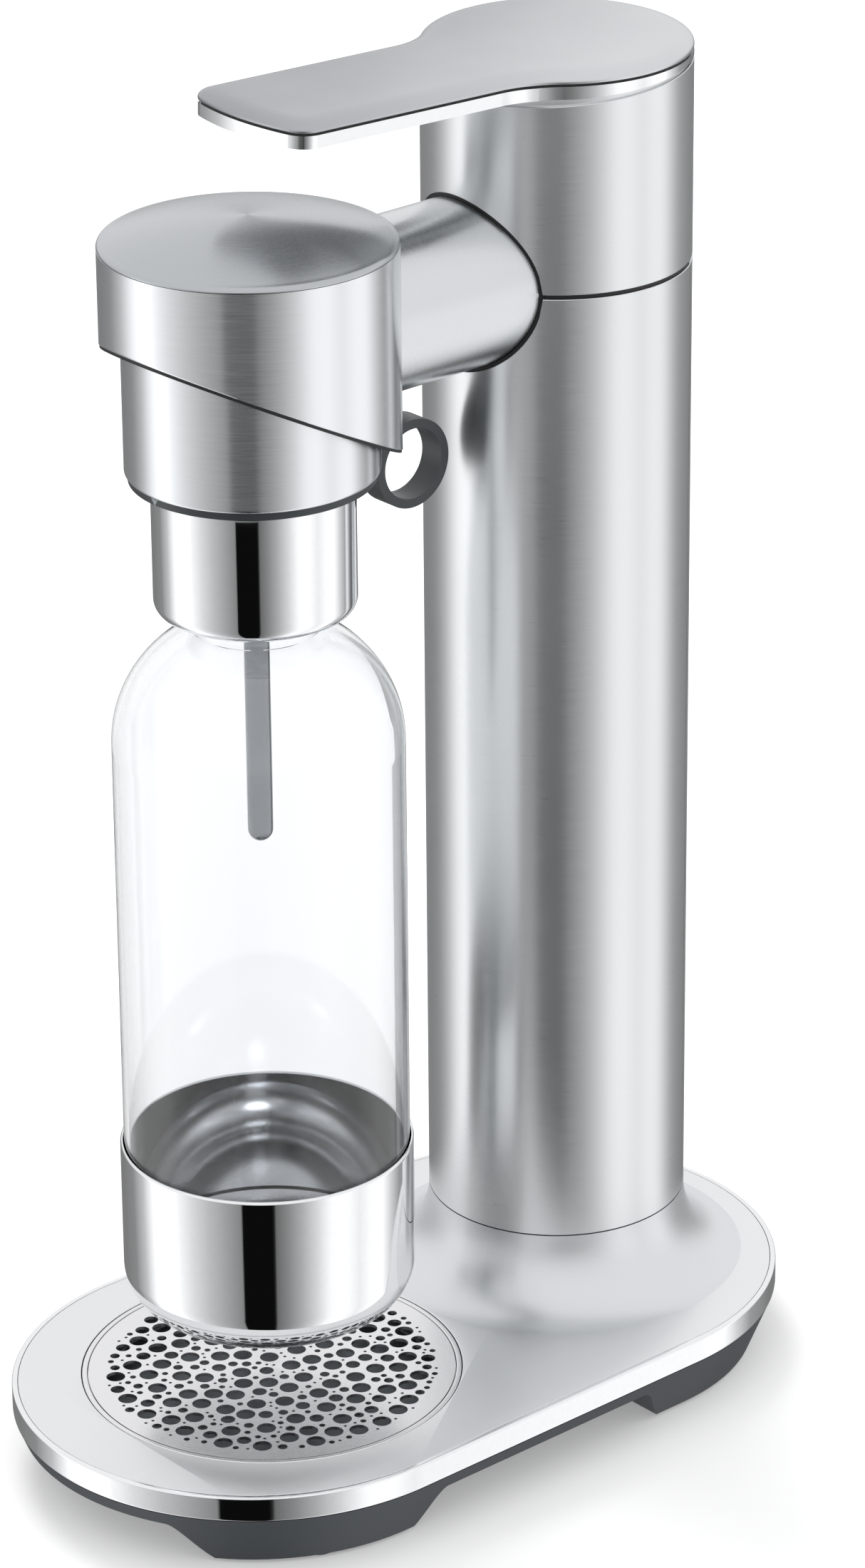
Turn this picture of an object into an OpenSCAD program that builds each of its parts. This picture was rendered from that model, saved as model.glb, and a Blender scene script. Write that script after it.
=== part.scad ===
// Sparkling water maker. A steel column stands on a long rounded base and
// carries a lever on top, an arm with a round head, and a bottle under the head.
// The origin is at the middle of the base, on the table. Front is -Y, up is +Z.

/* [Base] */
// Width of the base, side to side
base_w = 151; // [148:1:160]
// Length of the base, front to back
base_l = 264; // [262:1:280]
// Height of the steel top plate above the table
plate_z = 26.5; // [25.5:0.5:32]
// Height of the polished band round the base
band_h = 8; // [6:0.5:9]
// Thickness of the polished band
band_t = 1.7; // [1.2:0.1:2.2]
// Bevel along the edges of the polished band
band_bevel = 0.6; // [0.3:0.1:1]
// How far the plastic housing draws in between the band and the table
housing_draft = 7; // [4:0.5:9]
// Wall of the plastic housing
housing_wall = 2.5; // [2:0.1:3.5]
// Thickness of the plastic deck under the steel plate
deck_t = 3; // [2:0.2:4]
// Height of the arches between the feet
arch_z = 14; // [12:0.5:15]
// Half length of the front and rear arches where they are highest
end_arch_top = 34; // [28:1:36]
// Half length of the front and rear arches at the table
end_arch_foot = 45; // [40:1:48]
// Half length of the side arches where they are highest
side_arch_top = 40; // [30:1:42]
// Half length of the side arches at the table
side_arch_foot = 52; // [46:1:54]
// How far the middle of the side arches lies in front of the middle of the base
side_arch_shift = 5; // [0:0.5:8]
// Depth of the feet, measured in from the outside of the base
foot_depth = 22; // [20:0.5:26]
// Gap between the plastic feet and the table
foot_lift = 1.5; // [1:0.1:2.5]
// Radius of a rubber foot
pad_r = 5.5; // [4.5:0.1:6]
// Height of a rubber foot
pad_h = 3; // [2.6:0.1:4]
// Angle of the feet on the round ends of the base
foot_angle = 24; // [20:1:28]
// Thickness of the floor plate that closes the base
floor_t = 2; // [1.5:0.1:2.5]

/* [Drip tray] */
// Radius of the drip tray
tray_r = 57.8; // [55:0.2:58.4]
// Width of the bright rim of the drip tray
tray_rim = 1.6; // [1.2:0.1:2.2]
// Thickness of the floor of the drip tray
tray_t = 1.2; // [0.8:0.1:1.6]
// Width of the ledge that carries the grille
ledge_w = 2.2; // [1.5:0.1:3]
// Thickness of the grille
grille_t = 1.2; // [0.8:0.1:1.6]
// Radius of the perforated zone of the grille
holes_r = 51; // [44:1:51]
// Distance between two rows of holes in the grille
hole_pitch = 8; // [8:0.2:12]
// Radius of the largest holes in the grille
hole_r = 3; // [1.6:0.1:3.2]

/* [Column] */
// Radius of the column
col_r = 40; // [39:0.5:41]
// Distance of the column behind the middle of the base
col_y = 65; // [64:0.5:66]
// Thickness of the steel sheet of the column and the base plate
sheet_t = 1.2; // [0.8:0.1:1.5]
// Height of the flare at the foot of the column
flare_h = 24; // [18:1:30]
// Height of the dark seam at the middle of the arm
seam_z = 356.7; // [350:1:365]
// Width of the dark seam
seam_gap = 1.3; // [1:0.1:1.6]
// Width of the thin joint lines of the column
joint_gap = 0.3; // [0.2:0.1:0.5]
// Half angle of the removable rear cover
rear_angle = 54; // [45:1:60]
// Thickness of the inner half tube of the column
spine_t = 3.4; // [2.5:0.1:3.6]
// How far the sleeve steps in at its shoulder
shoulder_in = 1; // [0.8:0.1:1.2]
// Distance between the sleeve's shoulder and the lever's skirt at the column's axis
shoulder_drop = 1.4; // [1.3:0.1:2]
// Slope of the sleeve's shoulder, in degrees
shoulder_slope = 3.8; // [3.6:0.1:4.4]
// Slope of the joint between the sleeve and the lever, in degrees
joint_slope = 2.7; // [1:0.1:3]

/* [Gas cylinder] */
// Radius of the gas cylinder
gas_r = 30; // [28:0.5:31]
// Height of the underside of the gas cylinder above the base plate
gas_lift = 30; // [26:1:40]
// Radius of the cylinder's neck
gas_neck_r = 12; // [11:0.5:13]
// Radius of the cylinder's brass valve
valve_r = 10.6; // [9:0.2:11]
// Length of the cylinder's brass valve
valve_h = 16; // [14:1:18]
// Radius of the regulator block that the valve screws into
block_r = 27; // [24:0.5:28]
// Height of the regulator block
block_h = 47; // [45:1:48]
// Distance of the regulator block's lower face below the middle of the arm
block_drop = 18.7; // [18:0.1:20]
// How deep the valve screws into the regulator block
valve_depth = 10; // [9:0.5:11]

/* [Arm and head] */
// Distance between the axes of the column and the head
reach = 117; // [116.6:0.1:117.4]
// Radius of the arm
arm_r = 25.4; // [24.6:0.2:25.8]
// Radius of the beam inside the arm
core_r = 20; // [18:0.5:21]
// Radius of the head
head_r = 42.8; // [42.4:0.1:44]
// Thickness of the wall of the head
head_wall = 1.5; // [1:0.1:1.8]
// Height of the edge of the head above the middle of the arm
head_top = 31.3; // [29:0.5:34]
// Rise of the dome of the head
dome_h = 7; // [4:0.5:9]
// Slope of the open lower edge of the head, in degrees
head_slope = 26.8; // [24:0.2:28]
// How far the slanted edge crosses the head's axis below the middle of the arm
head_drop = 16.1; // [15:0.2:17]
// Radius of the brass gas nozzle in the head
nozzle_r = 4; // [3:0.1:4.5]

/* [Cap and wand] */
// Distance of the cap's lower face below the middle of the arm
cap_hang = 41.7; // [41:0.1:43]
// Radius of the steel shell of the cap
cap_r = 36.8; // [36:0.1:37]
// Thickness of the steel shell of the cap
cap_wall = 1.2; // [0.8:0.1:1.5]
// Height of the steel shell of the cap
cap_h = 45; // [44:0.5:46]
// Height of the dark ring under the steel shell
ring_h = 4; // [3:0.2:5]
// Radius of the dark ring at its lower face
ring_foot_r = 31; // [30:0.2:32]
// Radius of the carbonating wand
wand_r = 3.75; // [3:0.05:4]
// Length of the wand below the cap
wand_l = 112; // [100:1:130]
// Outer radius of the finger ring
pull_r = 13.6; // [12.6:0.2:14]
// Width of the finger ring's band
pull_w = 8.5; // [7.5:0.1:9]
// Thickness of the finger ring's band
pull_t = 2.8; // [2:0.1:3.2]
// Distance of the finger ring's middle behind the head's axis
pull_y = 56.8; // [56:0.1:57.6]
// How far the finger ring's middle hangs below the dark ring
pull_drop = 8; // [7:0.5:9]

/* [Bottle] */
// Radius of the bottle
bottle_r = 42.8; // [40:0.2:43]
// Wall of the bottle
bottle_wall = 1.6; // [1:0.1:2]
// Height of the bottle, from the underside of the cup to the top of the collar
bottle_h = 263.2; // [262:0.1:266]
// Radius of the bottle's neck
neck_r = 19; // [17:0.2:20]
// Height of the bottle's round shoulder
shoulder_run = 36; // [32:1:40]
// Length of the bottle's neck between its shoulder and the collar
neck_show = 5.4; // [4:0.2:8]
// Radius of the polished collar
collar_r = 29.5; // [28.5:0.1:30.5]
// Height of the polished collar
collar_h = 38.5; // [34:0.1:40]
// Thickness of the polished cup round the foot of the bottle
cup_t = 1; // [0.8:0.1:1.4]
// Height of the polished cup
cup_h = 54.2; // [45:0.2:56]
// Radius of the rounded lower edge of the cup
cup_round = 14; // [10:0.5:18]

/* [Lever] */
// Half width of the lever's handle
lever_w = 24.5; // [23:0.5:26]
// Length of the lever in front of the column's axis
lever_l = 120; // [112:1:124]
// Radius of the bays where the handle meets the round end
bay_r = 28; // [24:1:32]
// Radius of the curved front edge of the handle
tip_r = 80; // [70:1:110]
// Radius of the corners of the handle
corner_r = 7; // [5:0.5:9]
// Thickness of the polished lower body of the lever
lever_body_t = 3.8; // [3.4:0.1:4.2]
// Thickness of the satin cover of the lever
lever_cover_t = 3.4; // [2.6:0.1:4]
// Thickness of the dark seam of the lever
lever_seam_t = 0.6; // [0.4:0.1:0.8]
// Height of the dark seam of the lever above the middle of the arm
lever_rise = 63.3; // [62.5:0.1:65]
// Distance of the lever's skirt below that seam at the column's axis
joint_drop = 2.8; // [2.6:0.1:3]
// Gap between the lever's skirt and the sleeve inside it
skirt_gap = 0.35; // [0.3:0.05:0.4]
// Distance of the lever's pin below that seam
pin_drop = 7.8; // [7:0.2:9]
// Upward slope of the handle, in degrees
handle_slope = 2; // [0.5:0.1:3]
// Distance of the lever's pin behind the column's axis
pin_y = 28; // [26:0.5:28.5]
// Radius of the lever's pin
pin_r = 2; // [1.5:0.1:2.4]

/* [Clearances] */
// Clearance round a piece that moves or lifts out
fit = 0.3; // [0.2:0.05:0.35]
// Clearance between two pieces that stay together
snug = 0.15; // [0.1:0.05:0.2]

/* [Hidden] */
$fn = 96;

// How far every cut runs past the face that it cuts
over = 1;
// Long enough to cut through the whole object
far = 600;
// Number of steps on a curve that is worked out point by point
steps = 16;

// Base
base_r = base_w / 2;
end_y = base_l / 2 - base_r;
band_z = plate_z - band_h;
deck_r = base_r - band_t - snug;
deck_z = plate_z - sheet_t;
deck_floor = deck_z - deck_t;
cavity_r = deck_r - housing_wall;
floor_r = cavity_r - snug;
pocket_r = base_r - foot_depth;
pad_orbit = (pocket_r + base_r - housing_draft) / 2;
band_step = 0.3;

// Screws: shank, head, sunk length and the boss round them
screw_r = 1.6;
screw_head_r = 3.4;
screw_head_h = 1.8;
screw_sink = 8.5;
screw_l = 10.5;
screw_boss_r = 4;

// Tray and grille
head_y = col_y - reach;
tray_z = arch_z + floor_t + fit;
tray_hole_r = tray_r + fit;
tray_bevel = 1.2;
ledge_z = plate_z - grille_t - snug;
grille_r = tray_r - tray_rim - fit;
ring_turn = 17;
ring_wave = 0.02;

// Column
flare_land = 0.5;
flare_w = reach - tray_hole_r - col_r - flare_land;
shell_z = plate_z + flare_h + joint_gap;
shell_top = seam_z - seam_gap / 2;
sleeve_z = seam_z + seam_gap / 2;
col_in = col_r - sheet_t;
spine_r = col_in - fit;
arm_hole_r = arm_r + seam_gap;
gasket_in = 0.6;
cover_play = 0.5;
spine_back = 1;

// Joint between the sleeve and the lever, and the sleeve's slanted shoulder
seam_low = seam_z + lever_rise;
slope_z = seam_low - joint_drop;
neck_r_top = col_r - shoulder_in;
skirt_in = neck_r_top + skirt_gap;
lever_ceiling = seam_low - lever_seam_t;
neck_lap = 0.8;
neck_base = 8;
neck_top_z = lever_ceiling - 2 * neck_lap;
cover_z = seam_low + lever_seam_t;
pin_z = seam_low - pin_drop;
fold_y = 32;
fold_lap = 0.6;
seam_inset = 0.9;
cover_round = 1.2;

// Gas cylinder, its valve and its seat
gas_z = plate_z + gas_lift;
block_z = seam_z - block_drop;
valve_top = block_z + valve_depth;
valve_z = valve_top - valve_h;
gas_neck_h = 8;
gas_shoulder_h = 24;
gas_shoulder_z = valve_z - gas_neck_h - gas_shoulder_h;
gas_foot_round = 6;
gas_wall = 3;
seat_rim = 6;
seat_floor = 4;
seat_wall = 3.4;

// Regulator block
flange_t = 4;
socket_r = valve_r + fit;
socket_top = valve_top + fit;
washer_t = 2;
washer_hole_r = 3;
channel_r = 2;
block_top = block_z + block_h;
tube_r = 2.5;
tube_up = 14.3;
tube_lap = 4;

// Plunger, pin and spring of the column top
plunger_r = 5;
plunger_tip_r = 2.5;
plunger_tip_h = 5;
plunger_collar_r = 8;
plunger_collar_h = 2;
guide_h = 14;
plunger_low = block_top - guide_h + flange_t;
valve_pin_r = 1.5;
top_deck_t = 5;
spring_wire = 1;
spring_turns = 5;
spring_sides = 6;
spring_turn_steps = 16;
boss_gap = 0.4;
boss_half = 4;
boss_t = 4;
boss_top = 1;
ear_in = 6.5;
ear_t = 4;

// Cap
cap_foot = seam_z - cap_hang;
cap_z = cap_foot + ring_h;
cap_top = cap_z + cap_h;
cap_lip = 2;
cap_edge = 1;
cap_in = cap_r - cap_wall - snug;
ring_r = cap_r - cap_edge;
neck_hole_r = neck_r + fit;
neck_in = 15.8;
neck_top = cap_foot + neck_in;
seal_t = 2;
seal_z = neck_top + fit;
wand_hold = 12;
wand_top = seal_z + seal_t + wand_hold;
wand_z = cap_foot - wand_l;
pivot_back = 38.5;
pivot_drop = 1;
lug_half = 2;
lug_r = 2.4;
lug_gap = 1.2;
fork_gap = 0.3;
ring_pin_r = 1;
relief_r = 1.8;
relief_back = 28;
relief_h = 24;

// Head
arm_z = seam_z;
head_z = arm_z + head_top;
rim_round = 1.6;
dome_seat = head_z - rim_round;
liner_r = head_r - head_wall - fit;
head_gap = 1;
receiver_z = cap_top + cap_lip + head_gap;
receiver_top = dome_seat - fit;
latch_r = cap_r + fit;
liner_lift = 2;
nozzle_drop = 8;
nozzle_up = 10;
nozzle_bore_r = 1.5;
socket_drop = 9;
oring_r = 0.9;
rscrew_r = 1.1;
rscrew_head_r = 1.6;
rscrew_head_h = 1.5;
rscrew_l = 22;
rscrew_in = 0.2;
rscrew_orbit = (latch_r + liner_r) / 2 - rscrew_in;
spacer_w = 6;

// Bottle and cup
bottle_z = cap_foot - fit - bottle_h;
neck_z = cap_foot - fit - collar_h;
cup_r = bottle_r + cup_t + snug;
bottle_foot = bottle_z + cup_t + snug;
bottle_round = cup_round - cup_t - snug;
punt_r = 26;
punt_h = 6;
collar_round = 4;
collar_t = 1.5;
shoulder_z = neck_z - neck_show - shoulder_run;

// Button of the rear cover
button_r = 5;
button_drop = 30;
button_z = seam_z - button_drop;
button_proud = 1.6;
button_in = 3;
button_head_r = 6.5;
button_head_t = 1;

function arch_side(x0, x1, h) =
    [for (i = [0:steps]) let (s = i / steps) [x0 + (x1 - x0) * s, h * (1 + cos(180 * s)) / 2]];

function ellipse_side(r0, w, h, z1) =
    [for (i = [0:steps]) let (a = 90 * i / steps) [r0 + w * (1 - cos(a)), z1 - h * sin(a)]];

function reversed(list) = [for (i = [len(list) - 1:-1:0]) list[i]];

function arc_points(c, r, a0, a1) =
    [for (i = [0:steps]) let (a = a0 + (a1 - a0) * i / steps) [c[0] + r * cos(a), c[1] + r * sin(a)]];

// A curve between two points that leaves upwards and arrives upwards
function shoulder_points(r0, z0, r1, z1) =
    [for (i = [0:steps]) let (s = i / steps, e = (1 - cos(180 * s)) / 2)
        [r0 + (r1 - r0) * e, z0 + (z1 - z0) * s]];

// A curve that leaves upwards and closes in as part of an ellipse
function round_shoulder(r0, z0, r1, z1) =
    [for (i = [0:steps]) let (last = acos(r1 / r0), a = last * i / steps)
        [r0 * cos(a), z0 + (z1 - z0) * sin(a) / sin(last)]];

// Side of a low dome, from its middle out to its edge
function dome_points(r1, z0, h) = [for (i = [0:steps]) let (s = i / steps) [r1 * s, z0 + h * (1 - s * s)]];

module at_column() { translate([0, col_y, 0]) children(); }
module at_head() { translate([0, head_y, 0]) children(); }

module tube(r_out, r_in, z0, z1) {
    difference() {
        translate([0, 0, z0]) cylinder(r = r_out, h = z1 - z0);
        translate([0, 0, z0 - over]) cylinder(r = r_in, h = z1 - z0 + 2 * over);
    }
}

// A cylinder that lies along Y, from y0 back to y1, at the height z
module along_y(r, y0, y1, z) {
    translate([0, y1, z]) rotate([90, 0, 0]) cylinder(r = r, h = y1 - y0);
}

module along_x(r, half, y, z) {
    translate([-half, y, z]) rotate([0, 90, 0]) cylinder(r = r, h = 2 * half);
}

// Flat outline of the base, drawn at a radius
module stadium(r) {
    square([2 * r, 2 * end_y], center = true);
    for (s = [-1, 1]) translate([0, s * end_y]) circle(r = r);
}

module slab(r, z0, z1) {
    translate([0, 0, z0]) linear_extrude(z1 - z0) stadium(r);
}

// Carries a half profile, drawn in radius and height, round the base
module round_base() {
    for (turn = [0, 180]) rotate([0, 0, turn]) {
        translate([0, end_y, 0]) rotate_extrude(angle = 180) children();
        rotate([90, 0, 0]) linear_extrude(2 * end_y, center = true) children();
    }
}

// Space above a plane that passes through a height on an axis and slopes along Y
module above(y, z, slope) {
    translate([0, y, z]) rotate([slope, 0, 0]) translate([-far / 2, -far / 2, 0]) cube(far);
}

// Space below such a plane
module below(y, z, slope) {
    translate([0, y, z]) rotate([slope, 0, 0]) translate([-far / 2, -far / 2, -far]) cube(far);
}

module rear_wedge(angle, z0, z1) {
    x = far * sin(angle);
    y = far * cos(angle);
    translate([0, 0, z0]) linear_extrude(z1 - z0) polygon([[0, 0], [x, y], [-x, y]]);
}

// Base
module foot_places() {
    for (s = [-1, 1], side = [-1, 1])
        translate([side * pad_orbit * cos(foot_angle), s * (end_y + pad_orbit * sin(foot_angle)), 0])
            children();
}

module arch(top, foot) {
    right = arch_side(top, foot, arch_z);
    left = reversed([for (p = right) [-p[0], p[1]]]);
    drop = [[foot, -over], [-foot, -over]];
    rotate([90, 0, 0]) linear_extrude(far, center = true) polygon(concat(right, drop, left));
}

module base_cover() {
    foot_r = col_r + flare_w;
    outside = ellipse_side(col_r, flare_w, flare_h, plate_z + flare_h);
    inside = ellipse_side(col_in, flare_w + sheet_t, flare_h + sheet_t, plate_z + flare_h);
    color("#c9cacb") {
        difference() {
            slab(deck_r, deck_z, plate_z);
            translate([0, head_y, deck_z - over]) cylinder(r = tray_hole_r, h = sheet_t + 2 * over);
            translate([0, col_y, deck_z - over]) cylinder(r = foot_r, h = sheet_t + 2 * over);
        }
        at_column() rotate_extrude() polygon(concat(outside, reversed(inside)));
    }
}

module base_band() {
    r_in = base_r - band_t;
    color("#dcddde") round_base() polygon([
        [r_in, band_z], [base_r - band_bevel, band_z], [base_r, band_z + band_bevel],
        [base_r, plate_z - band_bevel], [base_r - band_bevel, plate_z], [r_in, plate_z]
    ]);
}

module base_housing() {
    top_r = base_r - band_step;
    foot_r = base_r - housing_draft;
    color("#3d4347") difference() {
        union() {
            round_base() polygon([
                [0, foot_lift], [foot_r, foot_lift], [top_r, band_z - snug], [0, band_z - snug]
            ]);
            slab(deck_r, band_z - snug, deck_z - snug);
        }
        slab(pocket_r, -over, arch_z + over);
        difference() {
            slab(cavity_r, arch_z, deck_floor);
            foot_places() translate([0, 0, arch_z + floor_t + snug])
                cylinder(r = screw_boss_r, h = band_h);
        }
        translate([0, head_y, arch_z]) cylinder(r = tray_hole_r, h = plate_z);
        arch(end_arch_top, end_arch_foot);
        translate([0, -side_arch_shift, 0]) rotate([0, 0, 90]) arch(side_arch_top, side_arch_foot);
        foot_places() {
            cylinder(r = pad_r + snug, h = pad_h + snug);
            cylinder(r = screw_head_r + snug, h = screw_sink + snug);
            cylinder(r = screw_r + snug, h = screw_sink + screw_l + snug);
        }
    }
}

module base_floor() {
    color("#4a4f53") difference() {
        slab(floor_r, arch_z + snug, arch_z + floor_t);
        foot_places() cylinder(r = screw_r + snug, h = plate_z);
    }
}

module base_screws() {
    color("#8f9295") foot_places() {
        translate([0, 0, screw_sink - screw_head_h]) cylinder(r = screw_head_r, h = screw_head_h);
        translate([0, 0, screw_sink]) cylinder(r = screw_r, h = screw_l);
    }
}

module rubber_feet() {
    color("#232527") foot_places() cylinder(r = pad_r, h = pad_h);
}

// Drip tray
module drip_tray() {
    wall_r = tray_r - tray_rim;
    well_r = wall_r - ledge_w;
    color("#d3d4d5") at_head() rotate_extrude() polygon([
        [0, tray_z], [tray_r - tray_bevel, tray_z], [tray_r, tray_z + tray_bevel],
        [tray_r, plate_z], [wall_r, plate_z], [wall_r, ledge_z], [well_r, ledge_z],
        [well_r, tray_z + tray_t], [0, tray_z + tray_t]
    ]);
}

// The holes stand in rings, six more in each ring, and take turns in size
module hole_pattern() {
    shares = [1, 0.62, 0.85, 0.5, 0.95, 0.72];
    rings = floor((holes_r - hole_r) / hole_pitch);
    circle(r = hole_r);
    for (ring = [1:rings], k = [0:6 * ring - 1]) {
        size = hole_r * shares[(k + 2 * ring) % len(shares)];
        wave = 1 + (ring < rings ? ring_wave : 0) * sin(360 * k / (2 * ring + 1));
        rotate([0, 0, 60 * k / ring + ring_turn * ring]) translate([ring * hole_pitch * wave, 0])
            circle(r = size);
    }
}

module drip_grille() {
    color("#cfd0d1") translate([0, head_y, plate_z - grille_t]) linear_extrude(grille_t - snug)
        difference() {
            circle(r = grille_r);
            hole_pattern();
        }
}

// Column
module column_shell() {
    color("#c3c5c7") difference() {
        at_column() difference() {
            tube(col_r, col_in, shell_z, shell_top);
            rear_wedge(rear_angle, shell_z - over, shell_top + over);
        }
        along_y(arm_hole_r, head_y, col_y, arm_z);
    }
}

module column_sleeve() {
    neck_low = slope_z - shoulder_drop - neck_base;
    color("#c3c5c7") difference() {
        at_column() union() {
            difference() {
                tube(col_r, col_in, sleeve_z, neck_top_z);
                above(0, slope_z - shoulder_drop, shoulder_slope);
            }
            difference() {
                tube(neck_r_top, neck_r_top - sheet_t, neck_low, neck_top_z);
                above(0, slope_z + neck_lap, joint_slope);
            }
        }
        along_y(arm_hole_r, head_y, col_y, arm_z);
    }
}

module column_gasket() {
    color("#26292b") difference() {
        at_column() tube(col_r - gasket_in, col_in - gasket_in, shell_top + snug, sleeve_z - snug);
        along_y(arm_hole_r, head_y, col_y, arm_z);
    }
}

module spine() {
    color("#55595c") difference() {
        at_column() difference() {
            tube(spine_r, spine_r - spine_t, deck_z + snug, block_z);
            translate([-far / 2, spine_back, 0]) cube(far);
        }
        along_y(arm_hole_r, head_y, col_y, arm_z);
    }
}

module cylinder_seat() {
    r_out = gas_r + fit + seat_wall;
    color("#55595c") at_column() difference() {
        translate([0, 0, deck_z + snug]) cylinder(r = r_out, h = gas_z - deck_z - snug + seat_rim);
        translate([0, 0, gas_z - fit]) cylinder(r = gas_r + fit, h = seat_rim + over + fit);
        translate([0, 0, deck_z]) cylinder(r = gas_r - seat_wall, h = gas_lift - seat_floor);
    }
}

module regulator_block() {
    color("#6f7477") difference() {
        at_column() {
            translate([0, 0, block_z + snug]) cylinder(r = block_r, h = block_h - snug);
            translate([0, 0, block_z + snug]) cylinder(r = spine_r, h = flange_t);
        }
        difference() {
            along_y(arm_hole_r, head_y, col_y, arm_z);
            translate([0, col_y, block_z]) cylinder(r = block_r, h = block_h);
        }
        at_column() {
            translate([0, 0, block_z - over])
                cylinder(r = socket_r, h = socket_top + washer_t - block_z + over);
            translate([0, 0, block_z]) cylinder(r = channel_r, h = block_h);
            translate([0, 0, block_top - guide_h]) cylinder(r = plunger_r + fit, h = guide_h + over);
            screw_places() translate([0, 0, block_top - screw_sink])
                cylinder(r = screw_r + snug, h = screw_sink + over);
        }
        along_y(tube_r + snug, head_y, col_y, arm_z + tube_up);
    }
}

module socket_washer() {
    color("#1f2123") at_column()
        tube(valve_r, washer_hole_r, socket_top + snug, socket_top + washer_t - snug);
}

module screw_places() {
    orbit = block_r - screw_boss_r - over;
    for (a = [45:90:315]) rotate([0, 0, a]) translate([orbit, 0, 0]) children();
}

module top_deck() {
    z0 = block_top + snug;
    boss_x = ear_in + ear_t + boss_gap;
    boss_h = pin_z + pin_r + boss_top - z0;
    color("#6f7477") at_column() difference() {
        union() {
            translate([0, 0, z0]) cylinder(r = spine_r, h = top_deck_t);
            for (side = [0, 1]) mirror([side, 0, 0])
                translate([boss_x, pin_y - boss_half, z0]) cube([boss_t, 2 * boss_half, boss_h]);
        }
        translate([0, 0, z0 - over]) cylinder(r = plunger_r + fit, h = top_deck_t + 2 * over);
        screw_places() translate([0, 0, z0 - over]) cylinder(r = screw_r + snug, h = top_deck_t + 2 * over);
        along_x(pin_r + snug, col_r, pin_y, pin_z);
    }
}

module deck_screws() {
    z0 = block_top + snug + top_deck_t;
    color("#8f9295") at_column() screw_places() {
        translate([0, 0, z0]) cylinder(r = screw_head_r, h = screw_head_h);
        translate([0, 0, z0 - screw_l]) cylinder(r = screw_r, h = screw_l);
    }
}

module lever_pin() {
    color("#b7babc") along_x(pin_r, ear_in + ear_t + boss_gap + boss_t, col_y + pin_y, pin_z);
}

// Arm
module arm_sleeve() {
    color("#a9adb0") difference() {
        along_y(arm_r, head_y, col_y, arm_z);
        along_y(arm_r - sheet_t, head_y - over, col_y + over, arm_z);
        translate([0, col_y, 0]) cylinder(r = spine_r - spine_t + over, h = far);
        translate([0, head_y, 0]) cylinder(r = head_r + snug, h = far);
    }
}

module arm_core() {
    spacer_r = arm_r - sheet_t - snug;
    color("#5d6265") difference() {
        union() {
            along_y(core_r, head_y, col_y, arm_z);
            along_y(spacer_r, head_y + head_r + spacer_w, head_y + head_r + 2 * spacer_w, arm_z);
            along_y(spacer_r, col_y - col_r - spacer_w, col_y - col_r, arm_z);
        }
        translate([0, col_y, 0]) cylinder(r = block_r + snug, h = far);
        translate([0, head_y, 0]) cylinder(r = liner_r + snug, h = far);
        along_y(tube_r + snug, head_y - over, col_y + over, arm_z + tube_up);
    }
}

module arm_gasket() {
    color("#26292b") difference() {
        along_y(arm_hole_r - snug, head_y, col_y, arm_z);
        along_y(arm_r + snug, head_y - over, col_y + over, arm_z);
        translate([0, col_y, 0]) cylinder(r = col_in - gasket_in, h = far);
        at_column() tube(far, col_r - gasket_in, 0, far);
    }
}

module gas_tube() {
    y0 = head_y + liner_r - tube_lap;
    y1 = col_y - block_r + tube_lap;
    color("#8a8d90") difference() {
        along_y(tube_r, y0, y1, arm_z + tube_up);
        along_y(tube_r / 2, y0 - over, y1 + over, arm_z + tube_up);
    }
}

// Head
module head_shell() {
    color("#a9adb0") difference() {
        at_head() tube(head_r, head_r - head_wall, arm_z - head_r, dome_seat - snug);
        below(head_y, arm_z - head_drop, -head_slope);
        along_y(core_r + fit, head_y, col_y, arm_z);
    }
}

module head_dome() {
    r0 = head_r - rim_round;
    ball = (r0 * r0 + dome_h * dome_h) / (2 * dome_h);
    reach_a = asin(r0 / ball);
    crown = arc_points([0, head_z + dome_h - ball], ball, 90 - reach_a, 90);
    inner = [for (p = reversed(crown)) [p[0], p[1] - head_wall]];
    rim = arc_points([r0, dome_seat], rim_round, 0, 90);
    color("#a4a8ab") at_head() rotate_extrude()
        polygon(concat(rim, crown, inner, [[r0, dome_seat]]));
}

module receiver() {
    color("#5d6265") at_head() difference() {
        translate([0, 0, receiver_z]) cylinder(r = liner_r, h = receiver_top - receiver_z);
        translate([0, 0, receiver_z - over]) cylinder(r = nozzle_r + snug, h = nozzle_up + over + snug);
        receiver_screw_places() {
            translate([0, 0, receiver_z - over]) cylinder(r = rscrew_r + snug, h = far);
            translate([0, 0, receiver_top - rscrew_head_h - snug])
                cylinder(r = rscrew_head_r + snug, h = far);
        }
        along_y(tube_r + snug, 0, head_r + over, arm_z + tube_up);
    }
}

module receiver_screw_places() {
    for (a = [30, 150, 270]) rotate([0, 0, a]) translate([rscrew_orbit, 0, 0]) children();
}

module receiver_screws() {
    top = receiver_top - snug;
    color("#8f9295") at_head() receiver_screw_places() {
        translate([0, 0, top - rscrew_head_h]) cylinder(r = rscrew_head_r, h = rscrew_head_h);
        translate([0, 0, top - rscrew_l]) cylinder(r = rscrew_r, h = rscrew_l);
    }
}

module latch_ring() {
    color("#34393c") difference() {
        at_head() {
            difference() {
                tube(liner_r, latch_r, arm_z - head_r, receiver_z - snug);
                receiver_screw_places() translate([0, 0, arm_z - head_r])
                    cylinder(r = rscrew_r + snug, h = far);
            }
        }
        below(head_y, arm_z - head_drop + liner_lift, -head_slope);
    }
}

module nozzle() {
    color("#c8a85a") at_head() difference() {
        translate([0, 0, receiver_z - nozzle_drop]) cylinder(r = nozzle_r, h = nozzle_drop + nozzle_up);
        translate([0, 0, receiver_z - nozzle_drop - over])
            cylinder(r = nozzle_bore_r, h = nozzle_drop + nozzle_up + 2 * over);
    }
}

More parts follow.
